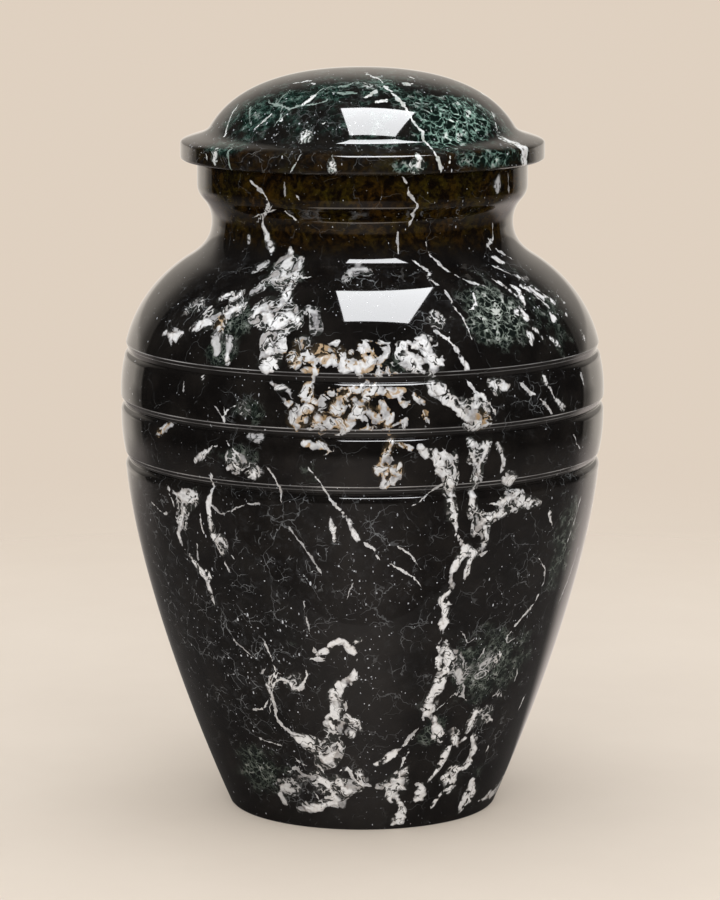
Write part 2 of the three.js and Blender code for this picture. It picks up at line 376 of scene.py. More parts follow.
WHITE_VEINS = (
    # the main vein down the right of the front, from the belly to the foot
    ((16.5, 168, 5), (19.5, 164, 6), (21.8, 160.5, 6), (24.3, 157, 6.5), (26, 154.5, 5)),
    ((25.3, 148, 2.6), (26, 145, 2), (25.4, 142, 2.4), (27.5, 139, 1.4), (27, 134.5, 2.8)),
    ((28, 146, 1.8), (29.7, 147.7, 2), (28.6, 142.2, 1.8), (27, 138.5, 1.2)),
    ((13, 147, 3), (15.3, 144.3, 4), (16.7, 142.2, 4.5), (17.8, 138.2, 5.5), (19.8, 135, 4.5),
     (20.3, 131, 3.5)),
    ((20.6, 130, 2.8), (21, 124, 3.6), (22, 118.5, 2.8), (22.6, 115, 1.4), (23.5, 112.5, 2),
     (25.2, 109.5, 4.6)),
    ((25, 108.5, 4), (23.5, 104, 2.6), (22, 100, 2), (22.8, 96, 4), (21.5, 93, 2), (20.4, 90.5, 3)),
    ((20.6, 90, 3), (21.6, 86, 2.8), (21, 82, 4.6), (21.6, 78, 2)),
    ((22.6, 74, 1.4), (24, 70, 4), (24.8, 67, 5.6), (25, 65, 4.8), (23, 61.5, 3.4), (22.7, 57.5, 4.4),
     (22.2, 53, 2.6)),
    ((20.3, 54.5, 2), (20.3, 49.5, 5.4), (19.6, 46.5, 4)),
    ((20.6, 46.4, 3), (22, 44.5, 3.4), (23.5, 40.5, 4), (25.6, 37.4, 5.6), (26.3, 35.2, 3)),
    # its twin beside it
    ((26.3, 129, 3.2), (26, 124, 3.4), (26, 121, 1.4)),
    ((28.2, 122, 1.2), (28.7, 118, 4.4), (27.5, 115, 2)),
    ((29, 118, 2), (30.3, 115.5, 2.2), (30.3, 110.5, 2), (29.8, 106.5, 2.2)),
    ((25.6, 108, 3), (27.4, 108, 2), (29.5, 106.3, 1.6), (31.4, 107.4, 1)),
    ((27.6, 106, 1.6), (26.6, 103, 2.2), (26.3, 99.5, 2.8), (25.5, 96.5, 0.9)),
    # the branch that climbs to the right from the twin
    ((29.8, 119, 2), (32, 120, 2.2), (34, 121, 3.2), (36.5, 121.5, 1.6), (38.6, 121.6, 1.8),
     (40, 124.5, 3.4)),
    ((40, 124.5, 3.2), (39.4, 127.4, 3), (36.5, 126.4, 4.4), (33.4, 124.4, 1.8), (31, 125, 1)),
    ((40.6, 124.6, 2.6), (43, 123.4, 3.6), (46.4, 122.4, 2)),
    ((51, 118, 2.4), (51.6, 115.5, 1.6), (53, 112, 1)),
    # band pieces on the right
    ((32.6, 146, 1.8), (34, 140.5, 2.3), (33.8, 136.5, 1.8)),
    ((35.2, 133.4, 5), (37, 132.6, 5)),
    ((25, 168.8, 1.6), (27, 165, 1.8), (29.7, 161.5, 1.8), (31.3, 158, 1.8), (31.7, 155, 1.3)),
    ((17.7, 147.6, 1.4), (19.5, 144, 1.6), (21.2, 139.6, 1.8), (21.5, 135, 1.6)),
    ((31, 168, 2), (33, 166.6, 4), (36, 166.4, 3.4)),
    ((39.5, 166.4, 1.6), (42.5, 162.5, 1.5), (44, 162, 1.4), (47, 158, 1.6), (49, 154.5, 1.5)),
    ((47, 167, 2.4), (48.5, 164, 1.3), (50.4, 159.4, 1.3), (53.5, 155.6, 2.2)),
    ((63, 166, 1.4), (63.6, 162, 1.4)),
    # shoulder, right of the front
    ((9.5, 180, 4), (11.5, 177.4, 6.4), (12.5, 174.5, 5)),
    ((15.4, 182, 4), (16.4, 178, 5), (16.8, 175, 6)),
    ((8.5, 182.6, 2), (12.5, 182, 3.4), (14.6, 183.4, 3)),
    ((18, 186.4, 1.4), (21, 184, 1.8), (22.5, 181, 1.8), (24, 177, 2.2), (24.8, 173.6, 1.8)),
    ((24, 214.5, 0.9), (24.3, 210.8, 1.6), (27.5, 206.5, 1.5), (30.5, 203.5, 1.6), (33, 201.5, 1),
     (38, 199.6, 1.2)),
    ((18, 208.6, 0.9), (20.3, 206.5, 1.1), (22.5, 204.3, 1.3), (20.6, 203, 0.8), (23, 201, 1.1)),
    ((24.3, 199, 1), (25, 195.5, 1.2)),
    ((33, 198, 1.3), (32, 194.4, 1.6), (29.4, 192.5, 1)),
    ((25, 193.6, 1.4), (26.5, 190.4, 1.3), (27, 186, 1.3), (27.3, 183.4, 1)),
    # slanted lens-shaped flecks on the right of the shoulder
    ((54.4, 214, 0.8), (55, 213, 1.8), (55.6, 212, 0.8)),
    ((52.6, 212, 0.8), (53, 211, 1.8), (53.4, 210, 0.8)),
    ((51.8, 207.6, 1), (53.6, 206.4, 3.4), (55.4, 205.6, 1)),
    ((57, 210, 0.9), (59.6, 208, 1.7), (62, 206, 0.9)),
    ((53, 201.6, 0.9), (56, 200.6, 2.8), (58.6, 200, 0.9)),
    ((48.4, 205, 0.8), (50.5, 203.8, 1.4), (52.4, 202, 0.8)),
    ((54.6, 197, 1.4), (57.2, 195.2, 4.6), (60, 193.2, 1.6), (61.6, 191, 2)),
    ((51.6, 198.6, 1), (53.2, 197.4, 2), (55, 195, 1.2), (57.6, 190.6, 1.8)),
    ((48, 198.6, 1.2), (49.6, 197, 2), (48.6, 193.6, 2.4), (47.6, 191.4, 1)),
    ((43, 201, 1), (44.4, 200, 1.6), (46.4, 197, 2.4), (47.6, 195, 0.9)),
    ((43.6, 190.4, 2), (45.6, 189.8, 4.4), (46.6, 188.6, 2.4)),
    ((56.2, 189, 1.4), (57.2, 187, 3.6), (55.8, 185.4, 1.2)),
    ((62.6, 187, 1.4), (64, 186.4, 2.6)),
    ((66.6, 193, 1.2), (67.4, 190.6, 2.2)),
    ((44.8, 184.4, 1.4), (45.2, 182, 3), (44.8, 179.4, 1.2)),
    ((47.4, 184.6, 1.4), (48.4, 183.4, 2.4)),
    ((48.8, 182.2, 1.2), (49.4, 180.8, 2.4)),
    ((51.8, 181, 1), (53.6, 179, 3), (55.4, 177, 1.2)),
    ((68.6, 180, 1.2), (69.4, 177.4, 2.4)),
    # shoulder, left of the front
    ((-27.2, 212.4, 1.2), (-26.5, 207.5, 5), (-25.6, 203.8, 3.4), (-25, 200.6, 1.6)),
    ((-29.4, 202, 1), (-25.4, 202.6, 1.6), (-22.2, 204.4, 1.6), (-18.8, 203.2, 1), (-16.6, 203.6, 1)),
    ((-22.4, 208.4, 2), (-22, 204, 2.6), (-22, 200.6, 2.4), (-22, 197, 3), (-22.6, 193.4, 2)),
    ((-29, 190.4, 2), (-28.2, 192.6, 3), (-26, 192.6, 5.4), (-24.2, 190.6, 4)),
    ((-24.4, 189.4, 2), (-22, 188, 4.4), (-20.6, 190.4, 5.4), (-19.2, 192, 3), (-17, 189.6, 2.6)),
    ((-32.4, 198.4, 1.8), (-31, 199.8, 2.2)),
    ((-38.4, 189.6, 1.2), (-37, 191.6, 2.6), (-34.6, 192.8, 3)),
    ((-46.8, 184.4, 2.4), (-44.6, 186, 3.4), (-42.8, 187.4, 4.4), (-41.4, 187.2, 1.6)),
    ((-57.4, 181.4, 2), (-55.4, 181.8, 2.6), (-52.6, 181, 5), (-50, 182.6, 2)),
    ((-42.6, 195, 1.2), (-41, 196.6, 2), (-39.4, 197.4, 1)),
    ((-39, 195, 1), (-37.6, 195.6, 1.8), (-36.4, 197, 2)),
    ((-45.6, 189.6, 1), (-44, 191.6, 1.8), (-43, 193.2, 1)),
    ((-23.4, 183, 3), (-22.8, 180, 4.4), (-22.2, 176, 6.4), (-22, 173.4, 5)),
    ((-33.8, 177, 2), (-33.4, 175.2, 3)),
    # bands on the left
    ((-21.6, 169, 2), (-19.4, 167.6, 3), (-17.4, 167.4, 1.2)),
    ((-40.2, 168.6, 2), (-39.6, 166.4, 1)),
    ((-30.2, 160.4, 1.2), (-31.8, 158.8, 1.6), (-33.4, 156, 1.5), (-33.2, 154, 0.9)),
    ((-41.8, 139, 2), (-40.6, 140.4, 3.4), (-38.4, 142.6, 1.8), (-35.4, 145.4, 1.4)),
    ((-32.4, 138, 2.4), (-30.6, 138.6, 4.8), (-29, 139, 2.4)),
    ((-27, 136, 1.6), (-25.4, 136.6, 3.6), (-23.6, 137.2, 1.8)),
    ((-32.4, 146.8, 1.6), (-30.4, 144.2, 1.3), (-28.8, 141.6, 1)),
    ((-22, 139, 1.4), (-20.6, 136, 1.3), (-19.4, 132, 1.2), (-19, 127, 1)),
    ((-12.4, 139.6, 1), (-10.2, 135.8, 1.5), (-8.5, 131.5, 1.4), (-7.7, 129, 1.1), (-5.3, 125.2, 1.4),
     (-3.4, 122, 2)),
    ((-3.2, 121.6, 1.6), (-2.6, 118, 2.2), (-1, 114, 2)),
    ((-7.6, 122, 1.4), (-6.8, 117.3, 2.8), (-6.5, 113.4, 1.4)),
    # lower body, left
    ((-52.6, 126.4, 1.6), (-50, 125, 2.6), (-47, 124.8, 6.4), (-43.4, 126, 5)),
    ((-52.4, 124.4, 1.2), (-51, 120.6, 1.4)),
    ((-46.4, 121.4, 1.4), (-48.4, 117.4, 3), (-49.4, 113.8, 4.4), (-51, 110, 2), (-50.2, 106.4, 1.8)),
    ((-49.4, 105, 1.2), (-47.6, 102.6, 2), (-45.8, 99.6, 2.4), (-43.2, 94.6, 2.4), (-42.4, 90, 2),
     (-42, 85.4, 1.4)),
    ((-42.4, 97.6, 2), (-41.8, 95.6, 2.4)),
    ((-37.4, 134.6, 1.4), (-37.8, 127.5, 1.7), (-38.7, 123, 2), (-38.8, 119.5, 1.5), (-38.6, 114.6, 2.6)),
    ((-38.6, 114, 2.4), (-38.2, 111, 1.6), (-37, 107, 1.2), (-36, 102.6, 1.1), (-34.8, 99.4, 0.9)),
    ((-37.2, 110.8, 1.4), (-35.8, 111.6, 2.2), (-34.8, 108.6, 1.3), (-33, 104.4, 0.9)),
    ((-41.8, 119.6, 1), (-42, 116.5, 1.3), (-41.4, 112.4, 0.9)),
    ((-61.6, 119.4, 1), (-58.4, 117.8, 1.5), (-56, 116.4, 1.2), (-54, 117.4, 1.5)),
    # the hook and the S-shaped vein left of the middle
    ((-12.4, 70.6, 1.2), (-10.2, 72, 2.4), (-8.4, 74.6, 2.8), (-6.4, 76.4, 2.8), (-4.4, 75, 2.8),
     (-2.6, 72, 2.8)),
    ((-13.2, 72.8, 1.2), (-12.2, 70.2, 1.6), (-10.8, 68.6, 1.4), (-14.4, 68.6, 1)),
    ((-1.8, 75.4, 2), (-0.8, 76.8, 2)),
    ((-1.8, 69, 0.9), (-2, 64.6, 2.2), (-3, 60.6, 3.6), (-5, 60.4, 3.4), (-7, 57.6, 4), (-8.6, 55, 4.4)),
    ((-8.6, 55, 4.4), (-7.6, 51.6, 4), (-7.8, 47.8, 2.8), (-9.2, 44, 6), (-9.6, 42, 4)),
    ((-5, 51.8, 1.6), (-5, 47.6, 1.6), (-3.4, 44.4, 2), (-2, 44.9, 2.4), (-0.2, 41, 1)),
    ((-9, 41, 1.6), (-8.8, 38, 1.8), (-7.2, 34.4, 1.8), (-8.5, 32, 2.6), (-10.8, 29.4, 4.2),
     (-13.5, 28.2, 3.8)),
    ((-3.6, 40.2, 3), (-3.4, 38.6, 1.6)),
    ((-14.6, 33, 2.2), (-14, 30, 2.4), (-13.6, 28.4, 3)),
    # the jagged vein further left, and the lump where it ends
    ((-27.6, 75, 0.9), (-26, 68.2, 1.2), (-25, 63, 1.4), (-27.2, 60.3, 1.4), (-28.4, 56.7, 1.7),
     (-28.1, 53.4, 1.9)),
    ((-28.1, 53.4, 1.8), (-27.4, 48, 1.4), (-27.8, 44.2, 1.5), (-26.3, 41, 1.5), (-23.4, 38.6, 1.8)),
    ((-23, 38.4, 2), (-21.2, 37.6, 3.2), (-18.8, 35.8, 4.4), (-16.6, 34, 3.2)),
    ((-27, 55.6, 1.2), (-25.6, 59.2, 1.6), (-23.4, 60, 1.5), (-21.6, 58.8, 1.6), (-20.2, 57, 1.9),
     (-18.4, 57.3, 1.8)),
    ((-18.4, 57.3, 1.8), (-16.8, 59.5, 1.3), (-15.7, 62.8, 1.1), (-16.5, 66.4, 1.2)),
    ((-29.6, 50.4, 1), (-32, 47, 1.2), (-35.7, 46, 1)),
    # the foot and the lower right
    ((-25.4, 7.6, 3), (-21.5, 7.4, 4), (-16.5, 8.8, 3.2), (-13.3, 10.6, 2), (-10.4, 12, 5.6)),
    ((-15.8, 20.8, 3), (-13, 19.2, 2), (-11.6, 15.6, 1.8), (-10.4, 12.4, 4.6)),
    ((-8.7, 20.4, 2.4), (-7, 16.4, 4.6), (-4.5, 17.8, 4), (-2, 17.3, 2.6), (-0.4, 18.6, 1.8), (3, 18.4, 1)),
    ((-7.6, 24.6, 1.4), (-5, 25.8, 1.6), (-3, 21.6, 1.4), (-0.6, 18.8, 1.2)),
    ((-1, 23.8, 2.4), (0.8, 21.4, 2.4)),
    ((4, 27, 0.9), (7, 28.2, 2.4), (9.6, 30.6, 2.6), (13.5, 34.2, 1), (16, 36.8, 1.6)),
    ((5.4, 18.2, 1.2), (9, 18, 2.2), (12.4, 18.6, 7)),
    ((15.8, 25.4, 1.4), (13, 21.6, 5), (12.2, 18, 7), (11, 14.2, 4.6)),
    ((12.4, 14.4, 1.6), (14.4, 11, 2.2), (16, 7, 4), (15, 3.6, 4.6), (12.6, 2, 2)),
    ((15.6, 31.8, 1.8), (14.2, 29, 1.6), (13.2, 25.4, 1.3)),
    ((27.6, 37.8, 1.4), (30, 38.2, 2.4), (31.8, 35.2, 3.6), (33.6, 33, 3), (36, 34.6, 1.3)),
    ((37.6, 44.6, 2.4), (37, 40, 2.4), (36, 36.4, 1)),
    ((39, 34.6, 1.4), (40, 33, 2.6), (41.4, 28.6, 3.4), (41, 24, 3.6), (38, 22, 3)),
    ((38, 22, 3), (34.6, 22, 4.6), (32.5, 19.4, 4.4), (35.6, 17, 6), (34.6, 13.4, 2.4)),
    ((30, 31.4, 2), (29.4, 29.4, 3.6), (28, 25.4, 3), (27, 22.4, 2), (25, 19.4, 1)),
    ((20, 18.4, 1.2), (22, 17.6, 1.8), (22.6, 13.4, 6), (21, 11.6, 3)),
    ((32, 13.4, 1.4), (31.2, 12, 2.2), (29.4, 9.8, 2.2), (28.4, 7.6, 1.2)),
    ((45.6, 15.6, 3), (47, 10.4, 7), (45.4, 6, 5)),
    ((44.6, 40.8, 1.8), (46.4, 39.4, 1.2)),
    ((49, 29.4, 1.2), (48.4, 26.8, 1)),
    ((42.6, 67, 1.3), (41.6, 64.4, 1)),
    ((50, 60.4, 1.2), (48.8, 58, 1)),
    ((62.4, 46, 1), (61, 41, 1.4)),
    # long thin veins
    ((49.4, 101.6, 0.8), (53, 96.5, 1), (54, 92.6, 1), (52.2, 84.6, 1.4), (46.8, 78.6, 1.4), (43, 73, 1.2)),
    ((8.4, 111.4, 0.9), (11.5, 108.5, 1), (12.8, 105.5, 1), (14.4, 102.2, 1), (15.5, 103, 0.8),
     (16.2, 101, 0.8)),
    ((6.8, 105.2, 0.9), (9, 103, 1.8), (11.4, 101, 0.9), (13, 99, 1.2), (14.6, 96.4, 0.8)),
    ((15, 92.4, 1.1), (19.6, 91, 1.4)),
    ((10.4, 125.4, 0.9), (12, 126.6, 1), (14.6, 129.2, 1), (17.5, 132.6, 0.9), (19, 133.6, 1)),
    ((0.6, 112.6, 1.6), (2.2, 111.4, 1.6), (4, 107, 1.1)),
    ((58.4, 145, 0.9), (60, 141.6, 1), (62, 138.6, 1)),
    # collar and neck
    ((13.5, 238.5, 0.8), (15.2, 235, 1.8), (16, 231.5, 1.6), (19, 228.3, 1.3), (17.3, 225.5, 1.2),
     (18.3, 224, 1.3)),
    ((18.3, 224, 1.3), (17.6, 222, 1.2), (17.2, 220.5, 1)),
    ((13.2, 219, 0.6), (12.8, 215, 0.7), (13, 211, 0.7)),
    ((-41, 235.5, 1.4), (-37.5, 233.5, 1.6), (-34, 230.5, 1.3), (-33.3, 228, 1.8), (-36, 225, 1.7),
     (-38.5, 223, 1.4)),
    ((-38.5, 223, 1.3), (-40, 219.5, 1.5), (-38.5, 216.5, 2.2), (-36, 213, 3), (-35, 211.5, 2)),
    ((-31.5, 226, 0.7), (-37, 224.4, 0.8), (-43, 222.5, 0.7)),
    ((-28, 225.5, 0.8), (-24.5, 222.5, 0.9)),
    ((57.4, 213.6, 1.4), (56, 213, 2.2), (53, 211.5, 1.6)),
)

CREAM_VEINS = (
    # rusty blocks, most of them across the middle of the shoulder and the upper band
    ((-12.6, 168.4, 4), (-12.6, 165, 5), (-12, 162.6, 5.4), (-13.6, 158.6, 7), (-14.6, 155.6, 5)),
    ((-10.2, 157, 5), (-8, 156, 4.6), (-3.8, 155.8, 5), (-1.4, 158, 5), (-0.4, 163, 4.6)),
    ((-6.4, 160, 3), (-6, 162, 3.6), (-4.6, 165, 3), (-2.4, 167.4, 4)),
    ((1.2, 167, 2.4), (6.6, 166.4, 5.4), (9.4, 167, 3)),
    ((1.4, 160, 3), (3.4, 157, 4.6), (5.4, 156, 4.6), (6.6, 158.6, 2)),
    ((11.6, 165.6, 2), (13.6, 163, 2.6)),
    ((-9, 178, 5), (-7.2, 177.4, 5.4), (-5.6, 179, 4)),
    ((-4, 175.4, 5), (1, 175.6, 6), (2, 178, 2.4)),
    ((-0.4, 181, 2.6), (0.6, 178.6, 2.2)),
    ((-13.6, 173.8, 3), (-11, 173.6, 3.4)),
    ((-16.4, 177.4, 3), (-15.6, 175.6, 4.6)),
    ((-13.4, 148.4, 2.2), (-10.6, 147.6, 4), (-8.4, 147.4, 2)),
    ((-8.2, 147.2, 1), (-6.8, 146, 1.4), (-8.6, 144.6, 1)),
    ((6.2, 149, 3), (5.6, 146, 3), (5, 143.6, 3), (3.6, 139.6, 3), (5.8, 137.4, 6), (5, 134.4, 4)),
    ((8.2, 141, 2), (8.2, 138, 3), (6.6, 135.4, 3)),
    ((8.6, 148, 2), (11, 147.2, 2)),
    ((26.6, 155.4, 4), (29, 154, 3)),
    ((-38.4, 189.4, 1.2), (-38.2, 186.6, 2.4), (-37.6, 185, 1.4)),
    ((-55, 146, 2), (-52.4, 148, 4), (-50.6, 149.8, 2)),
)

GREY_VEINS = (
    # bluish and lilac-grey strands
    ((-24, 29, 1.2), (-20.8, 26.2, 1.6), (-18.4, 25.4, 1.4)),
    ((-27, 22.4, 1.2), (-24, 24.8, 1.6), (-21.6, 21.8, 1.4), (-17, 21.6, 1.2)),
    ((-33, 16.6, 3.4), (-29.6, 15.6, 5), (-26.6, 15, 2)),
    ((-33.6, 12, 2), (-32, 9, 3)),
    ((-36, 34.6, 1), (-33.4, 34, 1.2), (-28, 33, 0.9)),
    ((-18.2, 15.4, 1), (-17.2, 12.6, 1.3)),
    ((-38, 182, 4), (-37, 178, 3.6)),
    ((-34.2, 182, 3.4), (-33.4, 179, 2.6)),
    ((-37.4, 204.4, 2), (-35, 206.4, 2)),
    ((-5.4, 203, 1.4), (-3.6, 205.8, 2.6), (-1, 207, 2), (2, 205.6, 1.6)),
    ((-14.6, 193.8, 1.4), (-12.4, 192.4, 2.6), (-11.4, 188, 2.4)),
    ((-15, 90.6, 0.9), (-14.8, 86, 1.1), (-14.2, 82.2, 1.1), (-14, 79.4, 0.9)),
    ((-17.4, 118, 0.8), (-15.5, 114, 1), (-12.5, 108, 0.9), (-10, 101, 0.8)),
    ((-37.4, 73, 0.9), (-34.5, 69.8, 1), (-31.3, 66.8, 0.9)),
    ((-38, 123.6, 0.9), (-35.4, 120.4, 1), (-31.8, 122.5, 1.1), (-28, 125.3, 1.1), (-24.4, 125.8, 0.9)),
    ((-30, 61, 1.1), (-28.4, 63.4, 1.2)),
    ((26.4, 64.4, 3), (28.6, 61.6, 4), (29, 58.4, 2)),
    ((17.8, 41, 1.2), (15.4, 38, 1.6), (13.8, 35, 1)),
    # curls and short strands in the green of the lower right
    ((33.8, 59.6, 0.8), (35.6, 60.8, 1), (38.4, 60.6, 1), (38, 58.6, 0.8), (35, 58, 0.9),
     (33.8, 59.4, 0.8)),
    ((35.4, 63.6, 0.8), (37, 66, 1.2), (37.8, 68.4, 0.8)),
    ((37.4, 62.6, 0.8), (38.8, 65.6, 1.2), (39.6, 69, 0.8)),
    ((34, 66, 0.8), (35.6, 68.6, 1.1), (36, 71, 0.7)),
    ((39.4, 57, 0.8), (40.6, 60, 1.2), (41.2, 62.4, 0.8)),
    ((43.4, 49.6, 0.9), (44.6, 50.6, 1.4), (45.8, 49.4, 0.9)),
    ((45.6, 52, 0.8), (47, 50.6, 1.1), (47.4, 48.6, 0.7)),
    ((23, 47.4, 0.8), (25.6, 50.6, 1), (28.2, 53.8, 1), (29.6, 52.6, 1.2), (31.4, 52.2, 1.2),
     (32.8, 50, 0.8)),
    ((30.6, 57.6, 0.8), (31.2, 54.6, 1), (30.4, 52.6, 0.8)),
    ((27.6, 69, 0.8), (29.4, 66.6, 1.1), (29.4, 63.4, 0.8)),
    ((40.8, 41.6, 1), (42.6, 42.6, 1.4), (44.8, 42, 1.2)),
    ((51.6, 58.6, 0.8), (52.6, 56.4, 1), (51.8, 54, 0.8)),
    ((27, 78, 0.7), (28.4, 75.4, 1), (29.6, 73, 0.8), (31.6, 74.6, 0.8)),
    ((42.6, 72.6, 0.8), (44, 70.4, 1.1), (46.4, 72, 0.9)),
    # short strands elsewhere
    ((-46, 166, 1), (-45.8, 163, 1.4)),
    ((-35.6, 159.2, 1), (-34, 156.6, 0.9)),
    ((-26.6, 150, 1.6), (-24, 149.4, 2.4)),
    ((66, 120, 1), (64, 112, 1.2), (62, 104, 1)),
    ((72, 100, 1), (70, 90, 1.4), (66.6, 80, 1.2)),
    ((-44.2, 108, 1), (-44.8, 102, 1.2)),
    ((-4, 92, 0.8), (-2.4, 98, 0.9)),
    ((-27, 236, 0.7), (-26.8, 233, 0.8), (-27, 231, 0.7)),
    ((-47.4, 215, 1.6), (-46.8, 213, 2.4)),
    ((-22.4, 231.6, 1), (-21.8, 230.4, 1.2)),
    ((53.4, 236.4, 2), (53, 234, 4.4), (52.6, 231, 2)),
    ((59.5, 237, 0.9), (60, 230, 1)),
    ((57.5, 219, 0.9), (58, 214, 1)),
)

# Soft patches of the body: (degrees, height, half width, half height, strength)

BRECCIA_PATCHES = (
    (-2, 161, 26, 10, 1.0), (4, 178, 28, 7, 1.0), (26, 162, 8, 8, 0.8), (19, 141, 5, 9, 0.7),
    (6, 140, 5, 9, 0.9), (14, 179, 10, 7, 1.0), (-22, 179, 6, 8, 0.8), (-8, 18, 9, 6, 0.6),
    (-8, 48, 5, 10, 0.5), (30, 141, 7, 7, 0.25), (-31, 138, 5, 4, 0.6), (22, 76, 4, 40, 0.45),
    (-12, 176, 8, 6, 0.8), (12, 160, 10, 8, 0.7),
)
LACE_PATCHES = (
    (-23, 191, 13, 8, 0.8), (-26, 204, 7, 6, 0.8), (-50, 191, 11, 6, 0.55), (-38, 190, 8, 8, 0.55),
    (20, 190, 10, 6, 0.6), (28, 161, 6, 8, 0.7), (21, 141, 4, 9, 0.6), (28, 140, 5, 8, 0.55),
    (29, 117, 5, 6, 0.5), (-15, 20, 17, 10, 0.65), (37, 64, 14, 13, 0.65), (-21, 60, 8, 6, 0.6),
    (-11, 33, 7, 8, 0.7), (42, 42, 9, 7, 0.7), (-28, 159, 8, 6, 0.5), (-30, 142, 10, 5, 0.5),
    (-47, 120, 6, 8, 0.4), (-14, 183, 8, 6, 0.65), (0, 204, 12, 4, 0.4), (-12, 186, 7, 5, 0.5),
    (-36, 107, 4, 7, 0.5), (38, 124, 9, 4, 0.4),
)
GREEN_PATCHES = (
    (37, 190, 13, 11, 1.0), (-40, 22, 15, 11, 0.7), (38, 63, 17, 14, 0.8), (62, 106, 14, 24, 0.6),
    (-30, 142, 12, 6, 0.5), (-33, 188, 8, 7, 0.7), (-36, 178, 7, 5, 0.7), (56, 188, 18, 16, 0.5),
    (23, 39, 6, 6, 0.9), (-26, 203, 9, 6, 0.6), (8, 176, 6, 4, 0.6), (-26, 158, 8, 6, 0.6),
    (-12, 138, 5, 5, 0.5), (50, 62, 12, 18, 0.5), (-20, 78, 14, 9, 0.25), (48, 15, 8, 12, 0.4),
)
COARSE_PATCHES = ((37, 190, 26, 20, 1.3),)
HAZE_PATCHES = (
    (-36, 66, 22, 24, 1.0), (-58, 92, 18, 36, 0.8), (4, 204, 12, 4, 0.9), (-20, 104, 26, 26, 0.7),
    (-52, 192, 12, 7, 0.9), (36, 70, 16, 14, 0.6), (62, 108, 16, 28, 0.9), (-15, 20, 20, 13, 0.6),
    (20, 191, 9, 6, 0.9), (-22, 60, 10, 8, 0.7), (-28, 158, 9, 7, 0.7), (2, 112, 9, 16, 0.6),
    (-46, 206, 8, 5, 0.5), (54, 200, 12, 8, 0.5), (12, 84, 16, 30, 0.5), (-30, 141, 12, 6, 0.6),
    (44, 100, 12, 16, 0.4), (-34, 22, 14, 12, 0.8), (48, 40, 12, 18, 0.6), (44, 160, 14, 8, 0.5),
)
SPECK_PATCHES = (
    (-30, 70, 34, 34, 0.9), (0, 100, 28, 30, 0.8), (-30, 30, 20, 18, 0.7), (4, 40, 14, 30, 0.6),
    (-30, 160, 20, 12, 0.6), (56, 196, 20, 16, 0.6), (40, 80, 20, 40, 0.6), (-4, 196, 14, 8, 0.5),
    (2, 78, 5, 40, 1.0),
)

# Veins and patches of the lid, in the same form

LID_WHITE_VEINS = (
    # the vein down the front, and its branches
    ((4, 271.7, 0.7), (14, 270.3, 1), (14, 268, 1.7), (16.5, 265.5, 1.8), (18.5, 263.5, 1.8),
     (19, 262, 1.5)),
    ((19, 262, 1.5), (19.6, 258.6, 1.2), (21, 255.5, 1.4), (23, 253.7, 1.4), (22.5, 251, 1.4),
     (23.5, 248.5, 1.2)),
    ((23.5, 248.5, 1.2), (23, 246.5, 1.3), (24, 243.5, 1.4), (24.4, 240.6, 1)),
    ((1, 265, 1.0), (4, 265.6, 1.3), (8, 267, 1.0)),
    ((6, 263.5, 1.0), (9, 263.6, 1.3), (12, 264, 1.0)),
    ((27, 268.3, 0.7), (31, 268.6, 1.0), (35, 268.7, 0.7)),
    ((43, 270.1, 1), (45, 270.4, 1.4)),
    ((67, 258, 0.7), (63.5, 255, 0.9), (60, 251.5, 0.8)),
    ((-69, 260, 0.8), (-64.6, 255, 0.9), (-60, 250, 0.9)),
    ((-22.6, 250.8, 1.2), (-21.6, 252, 2.6), (-20.4, 252.7, 1.2)),
    ((-34, 251.6, 0.9), (-33.2, 252.4, 1.2)),
    ((-34.4, 257, 0.9), (-33.6, 257, 1.1)),
    ((-15.8, 256.4, 1.4), (-15.2, 256.6, 1.6)),
    ((-40.5, 258.7, 1), (-42.5, 256, 1.2), (-45, 253.5, 1.1)),
    ((-28, 262.2, 1), (-26, 264, 2), (-25, 265.4, 1)),
    ((-50, 268.4, 1), (-44, 269, 1.6), (-40, 269.4, 1)),
    ((-36, 268.8, 1), (-33, 268.6, 1.5)),
    # the flange
    ((-22.9, 245.2, 1.2), (-22.7, 244, 2.6), (-22.4, 242.8, 1.2)),
    ((-19, 246.5, 0.7), (-22.2, 240.5, 0.8)),
    ((-9.4, 246.4, 1.0), (-9.2, 245, 1.6), (-9, 242, 2.0)),
    ((-12.6, 243, 1.0), (-12.2, 242, 1.7)),
    ((-52, 246, 0.9), (-51.8, 244.5, 2.0), (-52.2, 242.6, 1.5), (-52, 241, 1.0)),
    ((-56.8, 244.2, 1.2), (-56.4, 243, 1.8)),
    ((27.5, 245.6, 0.9), (27.3, 243, 1.2), (27.5, 241, 1)),
    ((17, 246.4, 1), (17.2, 244.6, 2.2), (16.8, 242, 2.4), (17, 240.4, 1.4)),
    ((60.6, 248.6, 3.4), (60.5, 246.6, 5.4), (60.6, 243, 5.6), (60.2, 240.2, 5)),
)
